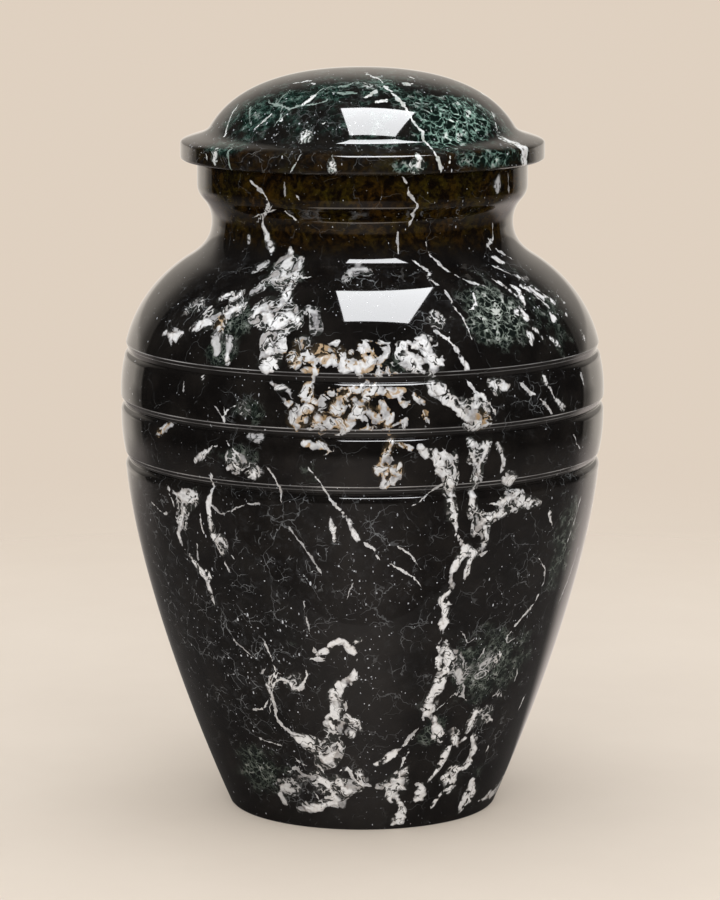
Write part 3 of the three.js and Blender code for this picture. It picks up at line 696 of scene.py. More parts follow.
LID_GREEN_VEINS = (
    # pale green cords of the dome
    ((-56, 264, 0.56), (-51, 263.4, 0.72), (-46, 262, 0.88), (-38, 261.5, 0.96), (-33, 260.5, 1.28),
     (-29, 262, 1.04)),
    ((-25, 266, 0.8), (-24, 267.5, 0.64), (-19, 268, 0.64), (-10, 268.3, 0.64), (-5, 269.5, 0.64)),
    ((-19, 266.5, 0.64), (-12, 266, 0.72), (-3, 266.2, 0.64)),
    ((-42, 261.8, 0.64), (-43, 264, 0.72), (-44, 266.4, 0.56)),
    ((-38, 261.2, 0.56), (-35, 258, 0.72), (-36, 255, 0.56)),
    ((-46, 247, 0.96), (-45.4, 243.6, 1.28), (-44.5, 240, 0.96)),
    ((-48, 254.6, 0.64), (-52, 257.6, 0.72), (-57, 260.4, 0.56)),
    ((-29, 262, 0.64), (-22, 262.6, 0.72), (-17, 263.8, 0.56)),
    ((25, 263, 0.56), (30, 262.4, 0.72), (36, 262, 0.56)),
)
LID_NET_PATCHES = (
    (40, 256, 20, 8, 1.0), (50, 258, 14, 8, 0.9), (30, 251, 14, 4, 0.9), (-50, 258, 15, 8, 0.70),
    (-62, 258, 10, 8, 0.6), (45, 244, 20, 4, 0.7), (15, 243, 10, 3, 0.7), (-50, 247, 12, 3, 0.7),
    (-22, 266, 18, 4, 0.55), (24, 264, 14, 5, 0.5), (-38, 263, 12, 5, 0.70), (10, 268, 20, 4, 0.5),
)
LID_SPECK_PATCHES = (
    (-40, 254, 18, 7, 1.1), (-20, 253, 14, 6, 1.1), (40, 254, 22, 8, 0.7), (0, 268, 30, 4, 0.6),
    (-58, 246, 16, 4, 0.9), (50, 246, 20, 3, 0.9), (60, 264, 20, 6, 0.5),
)
LID_LACE_PATCHES = (
    (12, 243.5, 14, 4, 0.48), (-40, 252, 14, 5, 0.45), (-20, 252, 10, 4, 0.35), (6, 268, 16, 4, 0.5),
    (50, 252, 14, 5, 0.45), (38, 262, 12, 3, 0.5), (-14, 243, 8, 4, 0.4), (-54, 244, 10, 4, 0.5),
    (44, 244, 16, 4, 0.4), (60, 262, 12, 5, 0.35),
)


# The least radius that offsets round the axis are measured at, how far a stroke reaches, and how many
# half widths or half heights a patch reaches
LEAST_RADIUS = 12.0
VEIN_REACH = 14.0
PATCH_REACH = 3

# Strokes of the veins: broad from this width on, how their edges scale, and how threads keep apart
THICK_FROM = 1.9
EDGE_SCALE = 0.3
EDGE_SCALE_GROWTH = 0.55
THREAD_BAND = 2.6
THREADS_MEET = 4.0
NO_THREAD = -2.0
FAR_FROM_VEINS = 6.0
SHORTEST_STROKE = 0.001


def in_reach(places, degrees, height, reach):
    """The vertices within a reach of a place, with their offset round and up from it in millimetres."""
    angle, radius, level = places
    round_by = np.radians((angle - degrees + 180) % 360 - 180) * np.maximum(radius, LEAST_RADIUS)
    up_by = level - height
    near = np.flatnonzero((np.abs(round_by) < reach) & (np.abs(up_by) < reach))
    return near, round_by[near], up_by[near]


def stroke_field(places, start, end):
    """One tapering stroke, as numbers for the vertices in reach.

    It gives back the vertices, their signed distance to the stroke's centre line, its half width there, and
    how far past its ends they lie.
    """
    (d0, h0, w0), (d1, h1, w1) = start, end
    near, across, up = in_reach(places, (d0 + d1) / 2, (h0 + h1) / 2, VEIN_REACH + abs(h1 - h0))
    scale = np.radians(1) * np.maximum(places[1][near], LEAST_RADIUS)
    run = np.stack([(d1 - d0) * scale, np.full(len(near), h1 - h0)], 1)
    length = np.maximum(np.linalg.norm(run, axis=1), SHORTEST_STROKE)
    offset = np.stack([across, up], 1) + run / 2
    whole_share = np.sum(offset * run, 1) / length ** 2
    share = np.clip(whole_share, 0, 1)
    gap = np.linalg.norm(offset - run * share[:, None], axis=1)
    left = np.where(run[:, 0] * offset[:, 1] > run[:, 1] * offset[:, 0], 1, -1)
    return near, left * gap, (w0 + (w1 - w0) * share) / 2, np.abs(whole_share - share) * length


def vein_field(places, groups):
    """Where the veins run, as numbers for each vertex.

    A vein is a chain of tapering strokes. A broad stroke gives an edge: the distance to its centre line less
    half its width, shared by a length that grows with the width, so negative inside. A thin stroke gives a
    side, the signed distance to its centre line, and a half width, which is negative away from it: a signed
    distance keeps its course between vertices, so a thread finer than the grid stays whole. A thread's two
    sides are swapped where that makes them agree with the threads beside it.
    """
    count = len(places[0])
    edge = np.full(count, FAR_FROM_VEINS)
    side = np.full(count, FAR_FROM_VEINS)
    half = np.full(count, NO_THREAD)
    nearest = np.full(count, VEIN_REACH)
    tone = np.zeros(count)
    warmth = np.zeros(count)
    for veins, vein_tone, vein_warmth in groups:
        for vein in veins:
            own_side = np.full(count, FAR_FROM_VEINS)
            own_half = np.full(count, NO_THREAD)
            for start, end in zip(vein[:-1], vein[1:]):
                near, signed, stroke_half, past_end = stroke_field(places, start, end)
                gap = np.abs(signed)
                if max(start[2], end[2]) >= THICK_FROM:
                    shared = (gap - stroke_half) / (EDGE_SCALE + EDGE_SCALE_GROWTH * stroke_half)
                    edge[near] = np.minimum(edge[near], shared)
                else:
                    closer = gap < np.abs(own_side[near])
                    thread = np.where(gap < THREAD_BAND, stroke_half - past_end, NO_THREAD)
                    own_side[near[closer]] = signed[closer]
                    own_half[near[closer]] = thread[closer]
                closest = gap - stroke_half < nearest[near]
                nearest[near[closest]] = (gap - stroke_half)[closest]
                tone[near[closest]] = vein_tone
                warmth[near[closest]] = vein_warmth
            both_near = np.maximum(np.abs(side), np.abs(own_side)) < THREADS_MEET
            if np.sum(np.sign(side[both_near] * own_side[both_near])) < 0:
                own_side = -own_side
            closer = np.abs(own_side) < np.abs(side)
            side[closer] = own_side[closer]
            half[closer] = own_half[closer]
    return {"edge": edge, "side": side, "half": half, "tone": tone, "warmth": warmth}


def patch_field(places, patches):
    """A soft mask: the largest of the patches' bells, each strength times exp of minus the squared offset."""
    mask = np.zeros(len(places[0]))
    for degrees, height, half_width, half_height, strength in patches:
        near, across, up = in_reach(places, degrees, height, PATCH_REACH * max(half_width, half_height))
        bell = np.exp(-(across / half_width) ** 2 - (up / half_height) ** 2)
        mask[near] = np.maximum(mask[near], strength * bell)
    return mask


# The sides that the front view hides: degrees, and the ranges that their veins and patches are drawn from
BACK_SEED = 31
BACK_FROM, BACK_TO = 92.0, 268.0
BACK_POINTS = (4, 7)
BACK_DRIFT = 2.2
BACK_FALL = (3.5, 9.0)
BACK_WIDEST = (1.2, 4.5)
BACK_UNEVEN = (0.6, 1.3)
BACK_END = 0.25
BACK_THINNEST = 0.9
BACK_OVERRUN = 2.0
PATCH_WIDTHS = (0.6, 1.3)
PATCH_HEIGHTS = (0.5, 1.0)
PATCH_STRENGTHS = (0.4, 0.9)


def back_veins(count, low, high, turn_room):
    """Wandering veins for the hidden sides, from a seeded walk up or down the stone."""
    random = np.random.default_rng(BACK_SEED)
    veins = []
    for _ in range(count):
        points = random.integers(*BACK_POINTS)
        start = (random.uniform(BACK_FROM, BACK_TO), random.uniform(low, high))
        drift = np.cumsum(random.normal(random.normal(0, BACK_DRIFT), BACK_DRIFT, points)) * turn_room
        fall = np.cumsum(random.uniform(*BACK_FALL, points)) * random.choice([-1, 1])
        widest = random.uniform(*BACK_WIDEST)
        swell = np.sin(np.linspace(BACK_END, math.pi - BACK_END, points))
        widths = widest * swell * random.uniform(*BACK_UNEVEN, points)
        heights = np.clip(start[1] + fall, low - BACK_OVERRUN, high + BACK_OVERRUN)
        veins.append(list(zip(start[0] + drift, heights, np.maximum(widths, BACK_THINNEST))))
    return veins


def back_patches(count, low, high, size):
    """Soft patches for the hidden sides, spread by the next seed."""
    random = np.random.default_rng(BACK_SEED + 1)
    return [
        (random.uniform(BACK_FROM, BACK_TO), random.uniform(low, high), size * random.uniform(*PATCH_WIDTHS),
         size * random.uniform(*PATCH_HEIGHTS), random.uniform(*PATCH_STRENGTHS))
        for _ in range(count)
    ]


# Shader helpers

def put(tree, kind, settings=None, **inputs):
    """Adds a node, sets its properties, and sets or links its inputs by name or number."""
    node = tree.nodes.new("ShaderNode" + kind)
    for name, value in (settings or {}).items():
        setattr(node, name, value)
    for name, value in inputs.items():
        socket = node.inputs[int(name[1:]) if name[0] == "_" else name.replace("_", " ")]
        if isinstance(value, bpy.types.NodeSocket):
            tree.links.new(value, socket)
        else:
            socket.default_value = value
    return node


def calc(tree, operation, a, b=0.0, c=0.0, clamp=False):
    """The result of one arithmetic step."""
    return put(tree, "Math", {"operation": operation, "use_clamp": clamp}, _0=a, _1=b, _2=c).outputs[0]


def times(tree, first, *others):
    """The product of the given values."""
    for other in others:
        first = calc(tree, "MULTIPLY", first, other)
    return first


def largest(tree, first, *others):
    """The largest of the given values."""
    for other in others:
        first = calc(tree, "MAXIMUM", first, other)
    return first


def scaled(tree, value, by, plus):
    """A value times a second one, plus a third."""
    return calc(tree, "MULTIPLY_ADD", value, by, plus)


def less(tree, value, by):
    """A value less another."""
    return calc(tree, "SUBTRACT", value, by)


def off(tree, value, level):
    """How far a value is from a level, either way."""
    return calc(tree, "ABSOLUTE", less(tree, value, level))


def soft_step(tree, value, low, high):
    """Goes smoothly from 0 at low to 1 at high."""
    settings = {"interpolation_type": "SMOOTHSTEP"}
    return put(tree, "MapRange", settings, Value=value, From_Min=low, From_Max=high).outputs[0]


def soft_fall(tree, value, low, high):
    """Goes smoothly from 1 at low to 0 at high."""
    return less(tree, 1.0, soft_step(tree, value, low, high))


def between(tree, value, low, full, still_full, high):
    """Goes smoothly from 0 at low to 1, and back to 0 at high."""
    return less(tree, soft_step(tree, value, low, full), soft_step(tree, value, still_full, high))


def blend(tree, share, first, second):
    """A colour that goes from the first to the second."""
    node = put(tree, "Mix", {"data_type": "RGBA"}, _0=share, _6=first, _7=second)
    return node.outputs[2]


def noise(tree, place, scale, detail=2.0, roughness=0.5, colour=False):
    """Smooth noise, as a value or as three values in a colour."""
    node = put(tree, "TexNoise", None, Vector=place, Scale=scale, Detail=detail, Roughness=roughness)
    return node.outputs[1 if colour else 0]


def cells(tree, place, scale):
    """Random cells: the distance to the middle of each, and three random numbers of its own."""
    node = put(tree, "TexVoronoi", None, Vector=place, Scale=scale)
    lot = put(tree, "SeparateColor", None, Color=node.outputs["Color"]).outputs
    return node.outputs["Distance"], lot


def cell_walls(tree, place, scale):
    """The distance to the nearest wall between random cells."""
    settings = {"feature": "DISTANCE_TO_EDGE"}
    return put(tree, "TexVoronoi", settings, Vector=place, Scale=scale).outputs["Distance"]


def wandered(tree, place, scale, amount, detail=3):
    """A place pushed about by noise, so that a pattern read there loses its regular look."""
    drift = noise(tree, place, scale, detail, 0.55, True)
    push = put(tree, "VectorMath", {"operation": "SUBTRACT"}, _0=drift, _1=(NOISE_MIDDLE,) * 3).outputs[0]
    node = put(tree, "VectorMath", {"operation": "MULTIPLY_ADD"}, _0=push, _1=(amount,) * 3, _2=place)
    return node.outputs[0]


def group(name, inputs, outputs):
    """An empty node group with named sockets, and its two end nodes."""
    tree = bpy.data.node_groups.new(name, "ShaderNodeTree")
    for label, kind in inputs.items():
        tree.interface.new_socket(label, in_out="INPUT", socket_type="NodeSocket" + kind)
    for label, kind in outputs.items():
        tree.interface.new_socket(label, in_out="OUTPUT", socket_type="NodeSocket" + kind)
    return tree, tree.nodes.new("NodeGroupInput").outputs, tree.nodes.new("NodeGroupOutput").inputs


def place_of(tree):
    """The place on the stone, in metres."""
    return put(tree, "TexCoord").outputs["Object"]


NOISE_MIDDLE = 0.5

# Colours that both pieces share
NECK_BLACK = (0.0034, 0.0014, 0.0002, 1)
NECK_BROWN = (0.040, 0.0185, 0.0020, 1)
NECK_OLIVE = (0.034, 0.0270, 0.0015, 1)
VEIL_GREY = (0.075, 0.080, 0.088, 1)
CRACK_GREY = (0.38, 0.40, 0.42, 1)
SPECK_COLOUR = (0.70, 0.73, 0.79, 1)
CALCITE_WHITE = (0.79, 0.795, 0.81, 1)
CALCITE_RUST = (0.36, 0.22, 0.08, 1)
CALCITE_FILL = (0.028, 0.033, 0.031, 1)
CALCITE_WARM_FILL = (0.048, 0.031, 0.014, 1)
# painted highlight: the grey of the thin lines along the grooves' lips, which stand in for the light that the
# lips' rounds mirror
LIP_HIGHLIGHT_GREY = (0.42, 0.415, 0.42, 1)

# Each piece's own stone: its greens go from dark cells over moss and pale walls to glints
BODY_STONE = {
    "black": (0.0042, 0.0036, 0.0034, 1),
    "brown": (0.0105, 0.0090, 0.0080, 1),
    "grey": (0.12, 0.115, 0.122, 1),
    "greens": ((0.0050, 0.0075, 0.0066, 1), (0.022, 0.031, 0.023, 1),
               (0.20, 0.23, 0.205, 1), (0.50, 0.52, 0.50, 1)),
    "cell_scale": 330.0,
}
LID_STONE = {
    "black": (0.0050, 0.0046, 0.0042, 1),
    "brown": (0.0125, 0.0110, 0.0092, 1),
    "grey": (0.075, 0.14, 0.11, 1),
    "greens": ((0.0030, 0.0070, 0.0056, 1), (0.011, 0.036, 0.028, 1),
               (0.22, 0.34, 0.29, 1), (0.62, 0.68, 0.65, 1)),
    "cell_scale": 300.0,
}

# Noise and cell scales, per metre
CLOUD_SCALE = 70
BLOTCH_SCALE = 330
VEIL_SCALE = 300
LONG_CRACK_SCALE = 62
FINE_CRACK_SCALE = 185
CRACK_BREAK_SCALE = 150
GREEN_GAP_SCALE = 330
GREEN_AREA_SCALE = 150
CALCITE_BROAD_SCALE = 205
CALCITE_FINE_SCALE = 390
CALCITE_GRIT_SCALE = 900
CALCITE_PATCH_SCALE = 95
CALCITE_BLOCK_SCALE = 185
THREAD_SWAY_SCALE = 420
POLISH_CLOUD_SCALE = 55
LIP_HIGHLIGHT_BREAK_SCALE = 60

# The fine walls of the green stone have this many times the cells of the coarse ones along a line
FINER_CELLS = 1.9

# Two layers of specks: turn in radians, squeeze along the height, and scale
SPECK_LAYERS = ((0.6, 1.0, 900), (-0.5, 0.4, 700))

# Grey lines round the grooves, given as matte tool lines, which stand in for the thin highlights that the
# lips' rounds mirror: depth below the upper lip, and strength
LIP_HIGHLIGHT_LINES = ((0.0, 1.0), (1.3, 0.5))
LIP_HIGHLIGHT_HALF_WIDTH = 0.26


def ground_group():
    """The dark ground of the stone: black with brown clouds, hairline cracks in the haze, and pale specks.

    The neck is blotched with brown and olive instead. A speck is a dot in a random cell. Only cells with a
    high random number have one, and there are more and larger ones where the piece asks for specks.
    """
    tree, given, made = group("marble_ground", {
        "Bent": "Vector", "Olive": "Float", "Haze": "Float", "Specks": "Float", "Black": "Color",
        "Brown": "Color",
    }, {"Colour": "Color", "Dots": "Float"})
    place = place_of(tree)
    bent, haze, specks = given["Bent"], given["Haze"], given["Specks"]
    cloud = soft_step(tree, noise(tree, place, CLOUD_SCALE, 4, 0.6), 0.35, 0.75)
    colour = blend(tree, cloud, given["Black"], given["Brown"])
    blotch = soft_step(tree, noise(tree, bent, BLOTCH_SCALE, 4, 0.7), 0.40, 0.68)
    neck = blend(tree, blotch, NECK_BLACK, blend(tree, cloud, NECK_BROWN, NECK_OLIVE))
    colour = blend(tree, given["Olive"], colour, neck)

    veil = soft_step(tree, noise(tree, bent, VEIL_SCALE, 4, 0.75), 0.46, 0.82)
    colour = blend(tree, times(tree, veil, haze, 0.55), colour, VEIL_GREY)

    broken = noise(tree, place, CRACK_BREAK_SCALE, 3)
    crack = soft_fall(tree, cell_walls(tree, bent, LONG_CRACK_SCALE), 0.003, 0.010)
    crack = times(tree, crack, soft_step(tree, broken, 0.42, 0.60), scaled(tree, haze, 0.48, 0.08))
    fine_crack = soft_fall(tree, cell_walls(tree, bent, FINE_CRACK_SCALE), 0.008, 0.030)
    fine_crack = times(tree, fine_crack, soft_step(tree, broken, 0.48, 0.62), haze, 0.50)
    colour = blend(tree, largest(tree, crack, fine_crack), colour, CRACK_GREY)

    threshold = scaled(tree, specks, -0.58, 0.92)
    dots = 0.0
    for turn, squeeze, scale in SPECK_LAYERS:
        laid = put(tree, "Mapping", None, Vector=place, Rotation=(0, turn, 0), Scale=(1, 1, squeeze))
        middle, lot = cells(tree, laid.outputs[0], scale)
        size = scaled(tree, calc(tree, "POWER", lot[1], 4.0), scaled(tree, specks, 0.22, 0.08), 0.08)
        dot = soft_fall(tree, less(tree, middle, size), -0.04, 0.02)
        shown = calc(tree, "GREATER_THAN", lot[0], threshold)
        dots = largest(tree, times(tree, dot, shown, scaled(tree, lot[2], 0.75, 0.15)), dots)
    tree.links.new(colour, made["Colour"])
    tree.links.new(dots, made["Dots"])
    return tree


def serpentine_group():
    """Green stone: a foam of dark rounded cells with thin pale walls over mossy green.

    It is made of coarse and fine walls. Where the piece asks for less coarse stone, both are dimmer and the
    fine walls are more common.
    """
    tree, given, made = group("marble_serpentine", {
        "Bent": "Vector", "Green": "Float", "Coarse": "Float", "Cell scale": "Float", "Dark": "Color",
        "Moss": "Color", "Pale": "Color", "Glint": "Color",
    }, {"Colour": "Color", "Mask": "Float"})
    place = place_of(tree)
    bent, amount, coarse = given["Bent"], given["Green"], given["Coarse"]
    rim = cell_walls(tree, bent, given["Cell scale"])
    fine_rim = cell_walls(tree, bent, times(tree, given["Cell scale"], FINER_CELLS))
    gaps = noise(tree, place, GREEN_GAP_SCALE, 3, 0.6)
    area = noise(tree, place, GREEN_AREA_SCALE, 3, 0.6)

    cloud = soft_step(tree, gaps, 0.38, 0.62)
    mossy = times(tree, soft_fall(tree, rim, 0.02, 0.20), scaled(tree, cloud, 0.75, 0.25))
    colour = blend(tree, mossy, given["Dark"], given["Moss"])

    width = calc(tree, "MINIMUM", scaled(tree, gaps, 0.30, -0.085), 0.10)
    cord = soft_fall(tree, less(tree, rim, width), -0.035, 0.01)
    cord = times(tree, cord, scaled(tree, coarse, 0.7, 0.3))
    fine_width = calc(tree, "MINIMUM", scaled(tree, gaps, 0.40, -0.13), 0.09)
    fine_cord = soft_fall(tree, less(tree, fine_rim, fine_width), -0.025, 0.01)
    where = scaled(tree, coarse, -0.10, calc(tree, "ADD", area, 0.10))
    fine_cord = times(tree, fine_cord, soft_step(tree, where, 0.47, 0.54), 0.8)
    strong = scaled(tree, soft_step(tree, amount, 0.35, 0.85), 0.6, 0.4)
    strong = times(tree, strong, scaled(tree, coarse, 0.55, 0.45))
    pale = times(tree, largest(tree, cord, fine_cord), scaled(tree, cloud, 0.6, 0.4), strong)
    wall = blend(tree, soft_step(tree, gaps, 0.55, 0.66), given["Pale"], given["Glint"])
    tree.links.new(blend(tree, pale, colour, wall), made["Colour"])

    thinned = soft_step(tree, calc(tree, "ADD", amount, less(tree, area, NOISE_MIDDLE)), 0.25, 0.55)
    tree.links.new(times(tree, thinned, soft_step(tree, amount, 0.02, 0.2)), made["Mask"])
    return tree


def calcite_group():
    """White calcite: bodies along the veins, fine threads, blocks of broken stone, and curling lace.

    Two smooth noises push a vein's edge in and out and leave round holes and cracks in it, and their level
    lines are the lace. Bodies are whitest in their middle. A dim fill lies round them, and rust where the
    stone is warm.
    """
    tree, given, made = group("marble_calcite", {
        "Curl": "Vector", "Edge": "Float", "Side": "Float", "Half": "Float", "Tone": "Float",
        "Warmth": "Float", "Breccia": "Float", "Lace": "Float", "White": "Color", "Grey": "Color",
        "Rust": "Color", "Fill": "Color", "Warm fill": "Color",
    }, {"Colour": "Color", "Mask": "Float"})
    place = place_of(tree)
    curl = given["Curl"]
    broad = noise(tree, curl, CALCITE_BROAD_SCALE, 1)
    fine = noise(tree, curl, CALCITE_FINE_SCALE, 1.5)
    grit = noise(tree, place, CALCITE_GRIT_SCALE, 2)
    patch = noise(tree, place, CALCITE_PATCH_SCALE, 3, 0.6)
    patchy = less(tree, patch, NOISE_MIDDLE)
    _, lot = cells(tree, curl, CALCITE_BLOCK_SCALE)
    block_edge = cell_walls(tree, curl, CALCITE_BLOCK_SCALE)

    # bodies, with holes and cracks
    push = scaled(tree, broad, 3.3, scaled(tree, fine, 1.5, -2.22))
    edge = calc(tree, "ADD", given["Edge"], push)
    hole = times(tree, soft_step(tree, fine, 0.585, 0.615), soft_step(tree, patch, 0.40, 0.52))
    split = soft_fall(tree, off(tree, broad, 0.44), 0.005, 0.020)
    split = times(tree, split, soft_step(tree, patch, 0.40, 0.56), 0.8)
    kept = less(tree, 1.0, largest(tree, hole, split))
    core = times(tree, soft_fall(tree, edge, -0.06, 0.04), kept)

    # threads
    sway = scaled(tree, noise(tree, place, THREAD_SWAY_SCALE, 3, 0.7), 1.8, -0.90)
    aside = calc(tree, "ABSOLUTE", calc(tree, "ADD", given["Side"], sway))
    taper = scaled(tree, broad, 2.6, scaled(tree, fine, -2.0, 0.14))
    thread = soft_fall(tree, less(tree, aside, times(tree, given["Half"], taper)), -0.05, 0.10)
    thread = times(tree, thread, calc(tree, "GREATER_THAN", given["Half"], 0.0))

    # blocks
    gap = scaled(tree, broad, 0.80, scaled(tree, fine, 0.30, -0.43))
    inside = less(tree, block_edge, gap)
    block = times(tree, soft_step(tree, inside, -0.01, 0.02), calc(tree, "GREATER_THAN", lot[0], 0.25))
    shown = soft_step(tree, calc(tree, "ADD", given["Breccia"], patchy), 0.42, 0.46)
    shown = times(tree, shown, soft_step(tree, given["Breccia"], 0.04, 0.2))
    block = times(tree, block, shown, kept)

    # lace
    loops = soft_fall(tree, off(tree, broad, NOISE_MIDDLE), 0.016, 0.034)
    curls = soft_fall(tree, off(tree, fine, NOISE_MIDDLE), 0.010, 0.030)
    lace = largest(tree, loops, times(tree, curls, 0.7), soft_step(tree, broad, 0.61, 0.63))
    wanted = scaled(tree, soft_fall(tree, given["Edge"], 0.2, 2.4), 0.42, given["Lace"])
    laced = soft_step(tree, calc(tree, "ADD", wanted, patchy), 0.50, 0.60)
    laced = times(tree, laced, soft_step(tree, wanted, 0.04, 0.25))
    lace = times(tree, lace, laced)

    # how much of it covers the ground
    solid = largest(tree, core, thread, block, lace)
    fill = times(tree, soft_fall(tree, edge, 0.0, 1.0), soft_step(tree, patch, 0.44, 0.62), 0.6)
    fill = largest(tree, fill, times(tree, laced, 0.55))

    # colour
    depth = soft_step(tree, times(tree, edge, -1.0), 0.0, 0.7)
    block_depth = times(tree, soft_step(tree, inside, -0.05, 0.28), block)
    depth = largest(tree, depth, block_depth, times(tree, thread, 0.7), times(tree, lace, 0.45))
    bright = scaled(tree, depth, 0.62, scaled(tree, grit, -0.6, 0.78))
    bright = scaled(tree, soft_step(tree, broad, 0.50, 0.66), -0.28, bright)
    bright = scaled(tree, lot[1], -0.22, bright)
    bright = calc(tree, "MULTIPLY", bright, largest(tree, given["Tone"], 0.3), clamp=True)
    colour = blend(tree, bright, given["Grey"], given["White"])
    outline = soft_fall(tree, inside, 0.0, 0.13)
    stain = scaled(tree, outline, 0.10, scaled(tree, lot[2], 0.06, fine))
    stain = times(tree, soft_step(tree, stain, 0.56, 0.70), given["Warmth"])
    colour = blend(tree, stain, colour, given["Rust"])
    dim = blend(tree, given["Warmth"], given["Fill"], given["Warm fill"])
    tree.links.new(blend(tree, solid, dim, colour), made["Colour"])
    tree.links.new(largest(tree, solid, fill), made["Mask"])
    return tree


def polish_group():
    """The polish: low roughness that clouds a little, and more on the softer veins and on the grey lines of
    painted highlight round the grooves.
    """
    tree, given, made = group("marble_polish", {"Vein": "Float", "Turned": "Float"}, {"Roughness": "Float"})
    rough = scaled(tree, noise(tree, place_of(tree), POLISH_CLOUD_SCALE, 3, 0.6), 0.03, 0.02)
    rough = scaled(tree, given["Vein"], 0.06, rough)
    tree.links.new(scaled(tree, given["Turned"], 0.25, rough), made["Roughness"])
    return tree


def lip_highlight_group():
    """Painted highlight lines round the grooves, grey like matte tool lines: soft rings at set heights, which
    noise breaks up in places.
    """
    tree, _, made = group("marble_lip_highlights", {}, {"Mask": "Float"})
    place = place_of(tree)
    height = put(tree, "SeparateXYZ", None, Vector=place).outputs["Z"]
    mask = 0.0
    for lip, _, _ in GROOVES:
        for depth, strength in LIP_HIGHLIGHT_LINES:
            ring = soft_fall(tree, off(tree, height, (lip - depth) * MM), 0.0, LIP_HIGHLIGHT_HALF_WIDTH * MM)
            mask = largest(tree, times(tree, ring, strength), mask)
    thinned = soft_step(tree, noise(tree, place, LIP_HIGHLIGHT_BREAK_SCALE, 3), 0.32, 0.68)
    tree.links.new(times(tree, mask, scaled(tree, thinned, 0.7, 0.3)), made["Mask"])
    return tree


GROUND = ground_group()
SERPENTINE = serpentine_group()
CALCITE = calcite_group()
POLISH = polish_group()
LIP_HIGHLIGHTS = lip_highlight_group()

MARBLE_IOR = 1.58

# How noise pushes the patterns about: its scale per metre, and the push in metres
BEND_SCALE, BEND = 150, 0.007
CURL_SCALE, CURL = 330, 0.0028


def read(tree, *names):
    """The numbers stored on the piece's vertices, as inputs of a group."""
    return {
        name.capitalize(): put(tree, "Attribute", {"attribute_name": name}).outputs["Fac"] for name in names
    }


def marble(name, black, brown, grey, greens, cell_scale):
    """Polished black marble with its own ground and green, and veins where the piece's fields put them."""
    material = bpy.data.materials.new(name)
    material.use_nodes = True
    tree = material.node_tree
    shader = tree.nodes["Principled BSDF"]
    shader.inputs["IOR"].default_value = MARBLE_IOR
    dark, moss, pale, glint = greens
    bent = wandered(tree, place_of(tree), BEND_SCALE, BEND)
    curl = wandered(tree, bent, CURL_SCALE, CURL, 1)

    ground = put(tree, "Group", {"node_tree": GROUND}, Bent=bent, Black=black, Brown=brown,
                 **read(tree, "olive", "haze", "specks")).outputs
    green = put(tree, "Group", {"node_tree": SERPENTINE}, Bent=bent, Cell_scale=cell_scale, Dark=dark,
                Moss=moss, Pale=pale, Glint=glint, **read(tree, "green", "coarse")).outputs
    calcite = put(tree, "Group", {"node_tree": CALCITE}, Curl=curl, White=CALCITE_WHITE, Grey=grey,
                  Rust=CALCITE_RUST, Fill=CALCITE_FILL, Warm_fill=CALCITE_WARM_FILL,
                  **read(tree, "edge", "side", "half", "tone", "warmth", "breccia", "lace")).outputs
    # painted highlight: grey rings along the grooves' lips stand in for the light the lips mirror, and are
    # rougher like matte tool lines
    turned = put(tree, "Group", {"node_tree": LIP_HIGHLIGHTS}).outputs["Mask"]
    polish = put(tree, "Group", {"node_tree": POLISH}, Vein=calcite["Mask"], Turned=turned).outputs

    colour = blend(tree, green["Mask"], ground["Colour"], green["Colour"])
    colour = blend(tree, ground["Dots"], colour, SPECK_COLOUR)
    # the grey rings of painted highlight along the grooves' lips go on here
    colour = blend(tree, turned, colour, LIP_HIGHLIGHT_GREY)
    colour = blend(tree, calcite["Mask"], colour, calcite["Colour"])
    tree.links.new(colour, shader.inputs["Base Color"])
    tree.links.new(polish["Roughness"], shader.inputs["Roughness"])
    return material


# The urn's two pieces

# Each kind of vein: its tone from grey to white, and its warmth from clean to rusty
WHITE, CREAM, GREY, BACK = (1.0, 0.10), (0.88, 0.75), (0.62, 0.05), (0.85, 0.15)
LID_GREEN, LID_BACK = (0.3, 0.0), (0.8, 0.1)

# Veins and patches of the hidden sides: count, lowest and highest, and room to turn or size
BODY_BACK_VEINS = (46, 8, 205, 1.6)
BODY_BACK_BRECCIA = (6, 20, 195, 10)
BODY_BACK_LACE = (10, 20, 195, 13)
BODY_BACK_GREEN = (7, 15, 200, 16)
BODY_BACK_HAZE = (12, 10, 200, 20)
LID_BACK_VEINS = (14, 242, 261, 1.8)
LID_BACK_NET = (6, 244, 266, 14)

# Least amounts over a whole piece, and the even haze of the lid
BODY_COARSE = 0.55
BODY_SPECKS = 0.14
LID_SPECKS = 0.25
LID_HAZE = 0.35

# The neck's and the flange's tint, and the dome's green: strength, and the heights between which they change
NECK_TINT, NECK_TINT_HEIGHTS = 0.9, (208, 219)
FLANGE_TINT, FLANGE_TINT_HEIGHTS = 0.45, (246, 249)
DOME_GREEN, DOME_GREEN_HEIGHTS = 0.30, (246, 250)

# The lid's green grows coarser from left to right, between these offsets from the middle
LID_COARSE_ACROSS = (-14, 12)

# The calcite is greyer round the belly: height of its middle, spread, and how much greyer
BELLY_MIDDLE = 150.0
BELLY_SPREAD = 34.0
BELLY_GREY = 0.20


def smooth_rise(values, low, high):
    """Goes from 0 at low to 1 at high along 3s^2 - 2s^3."""
    s = np.clip((values - low) / (high - low), 0, 1)
    return s * s * (3 - 2 * s)


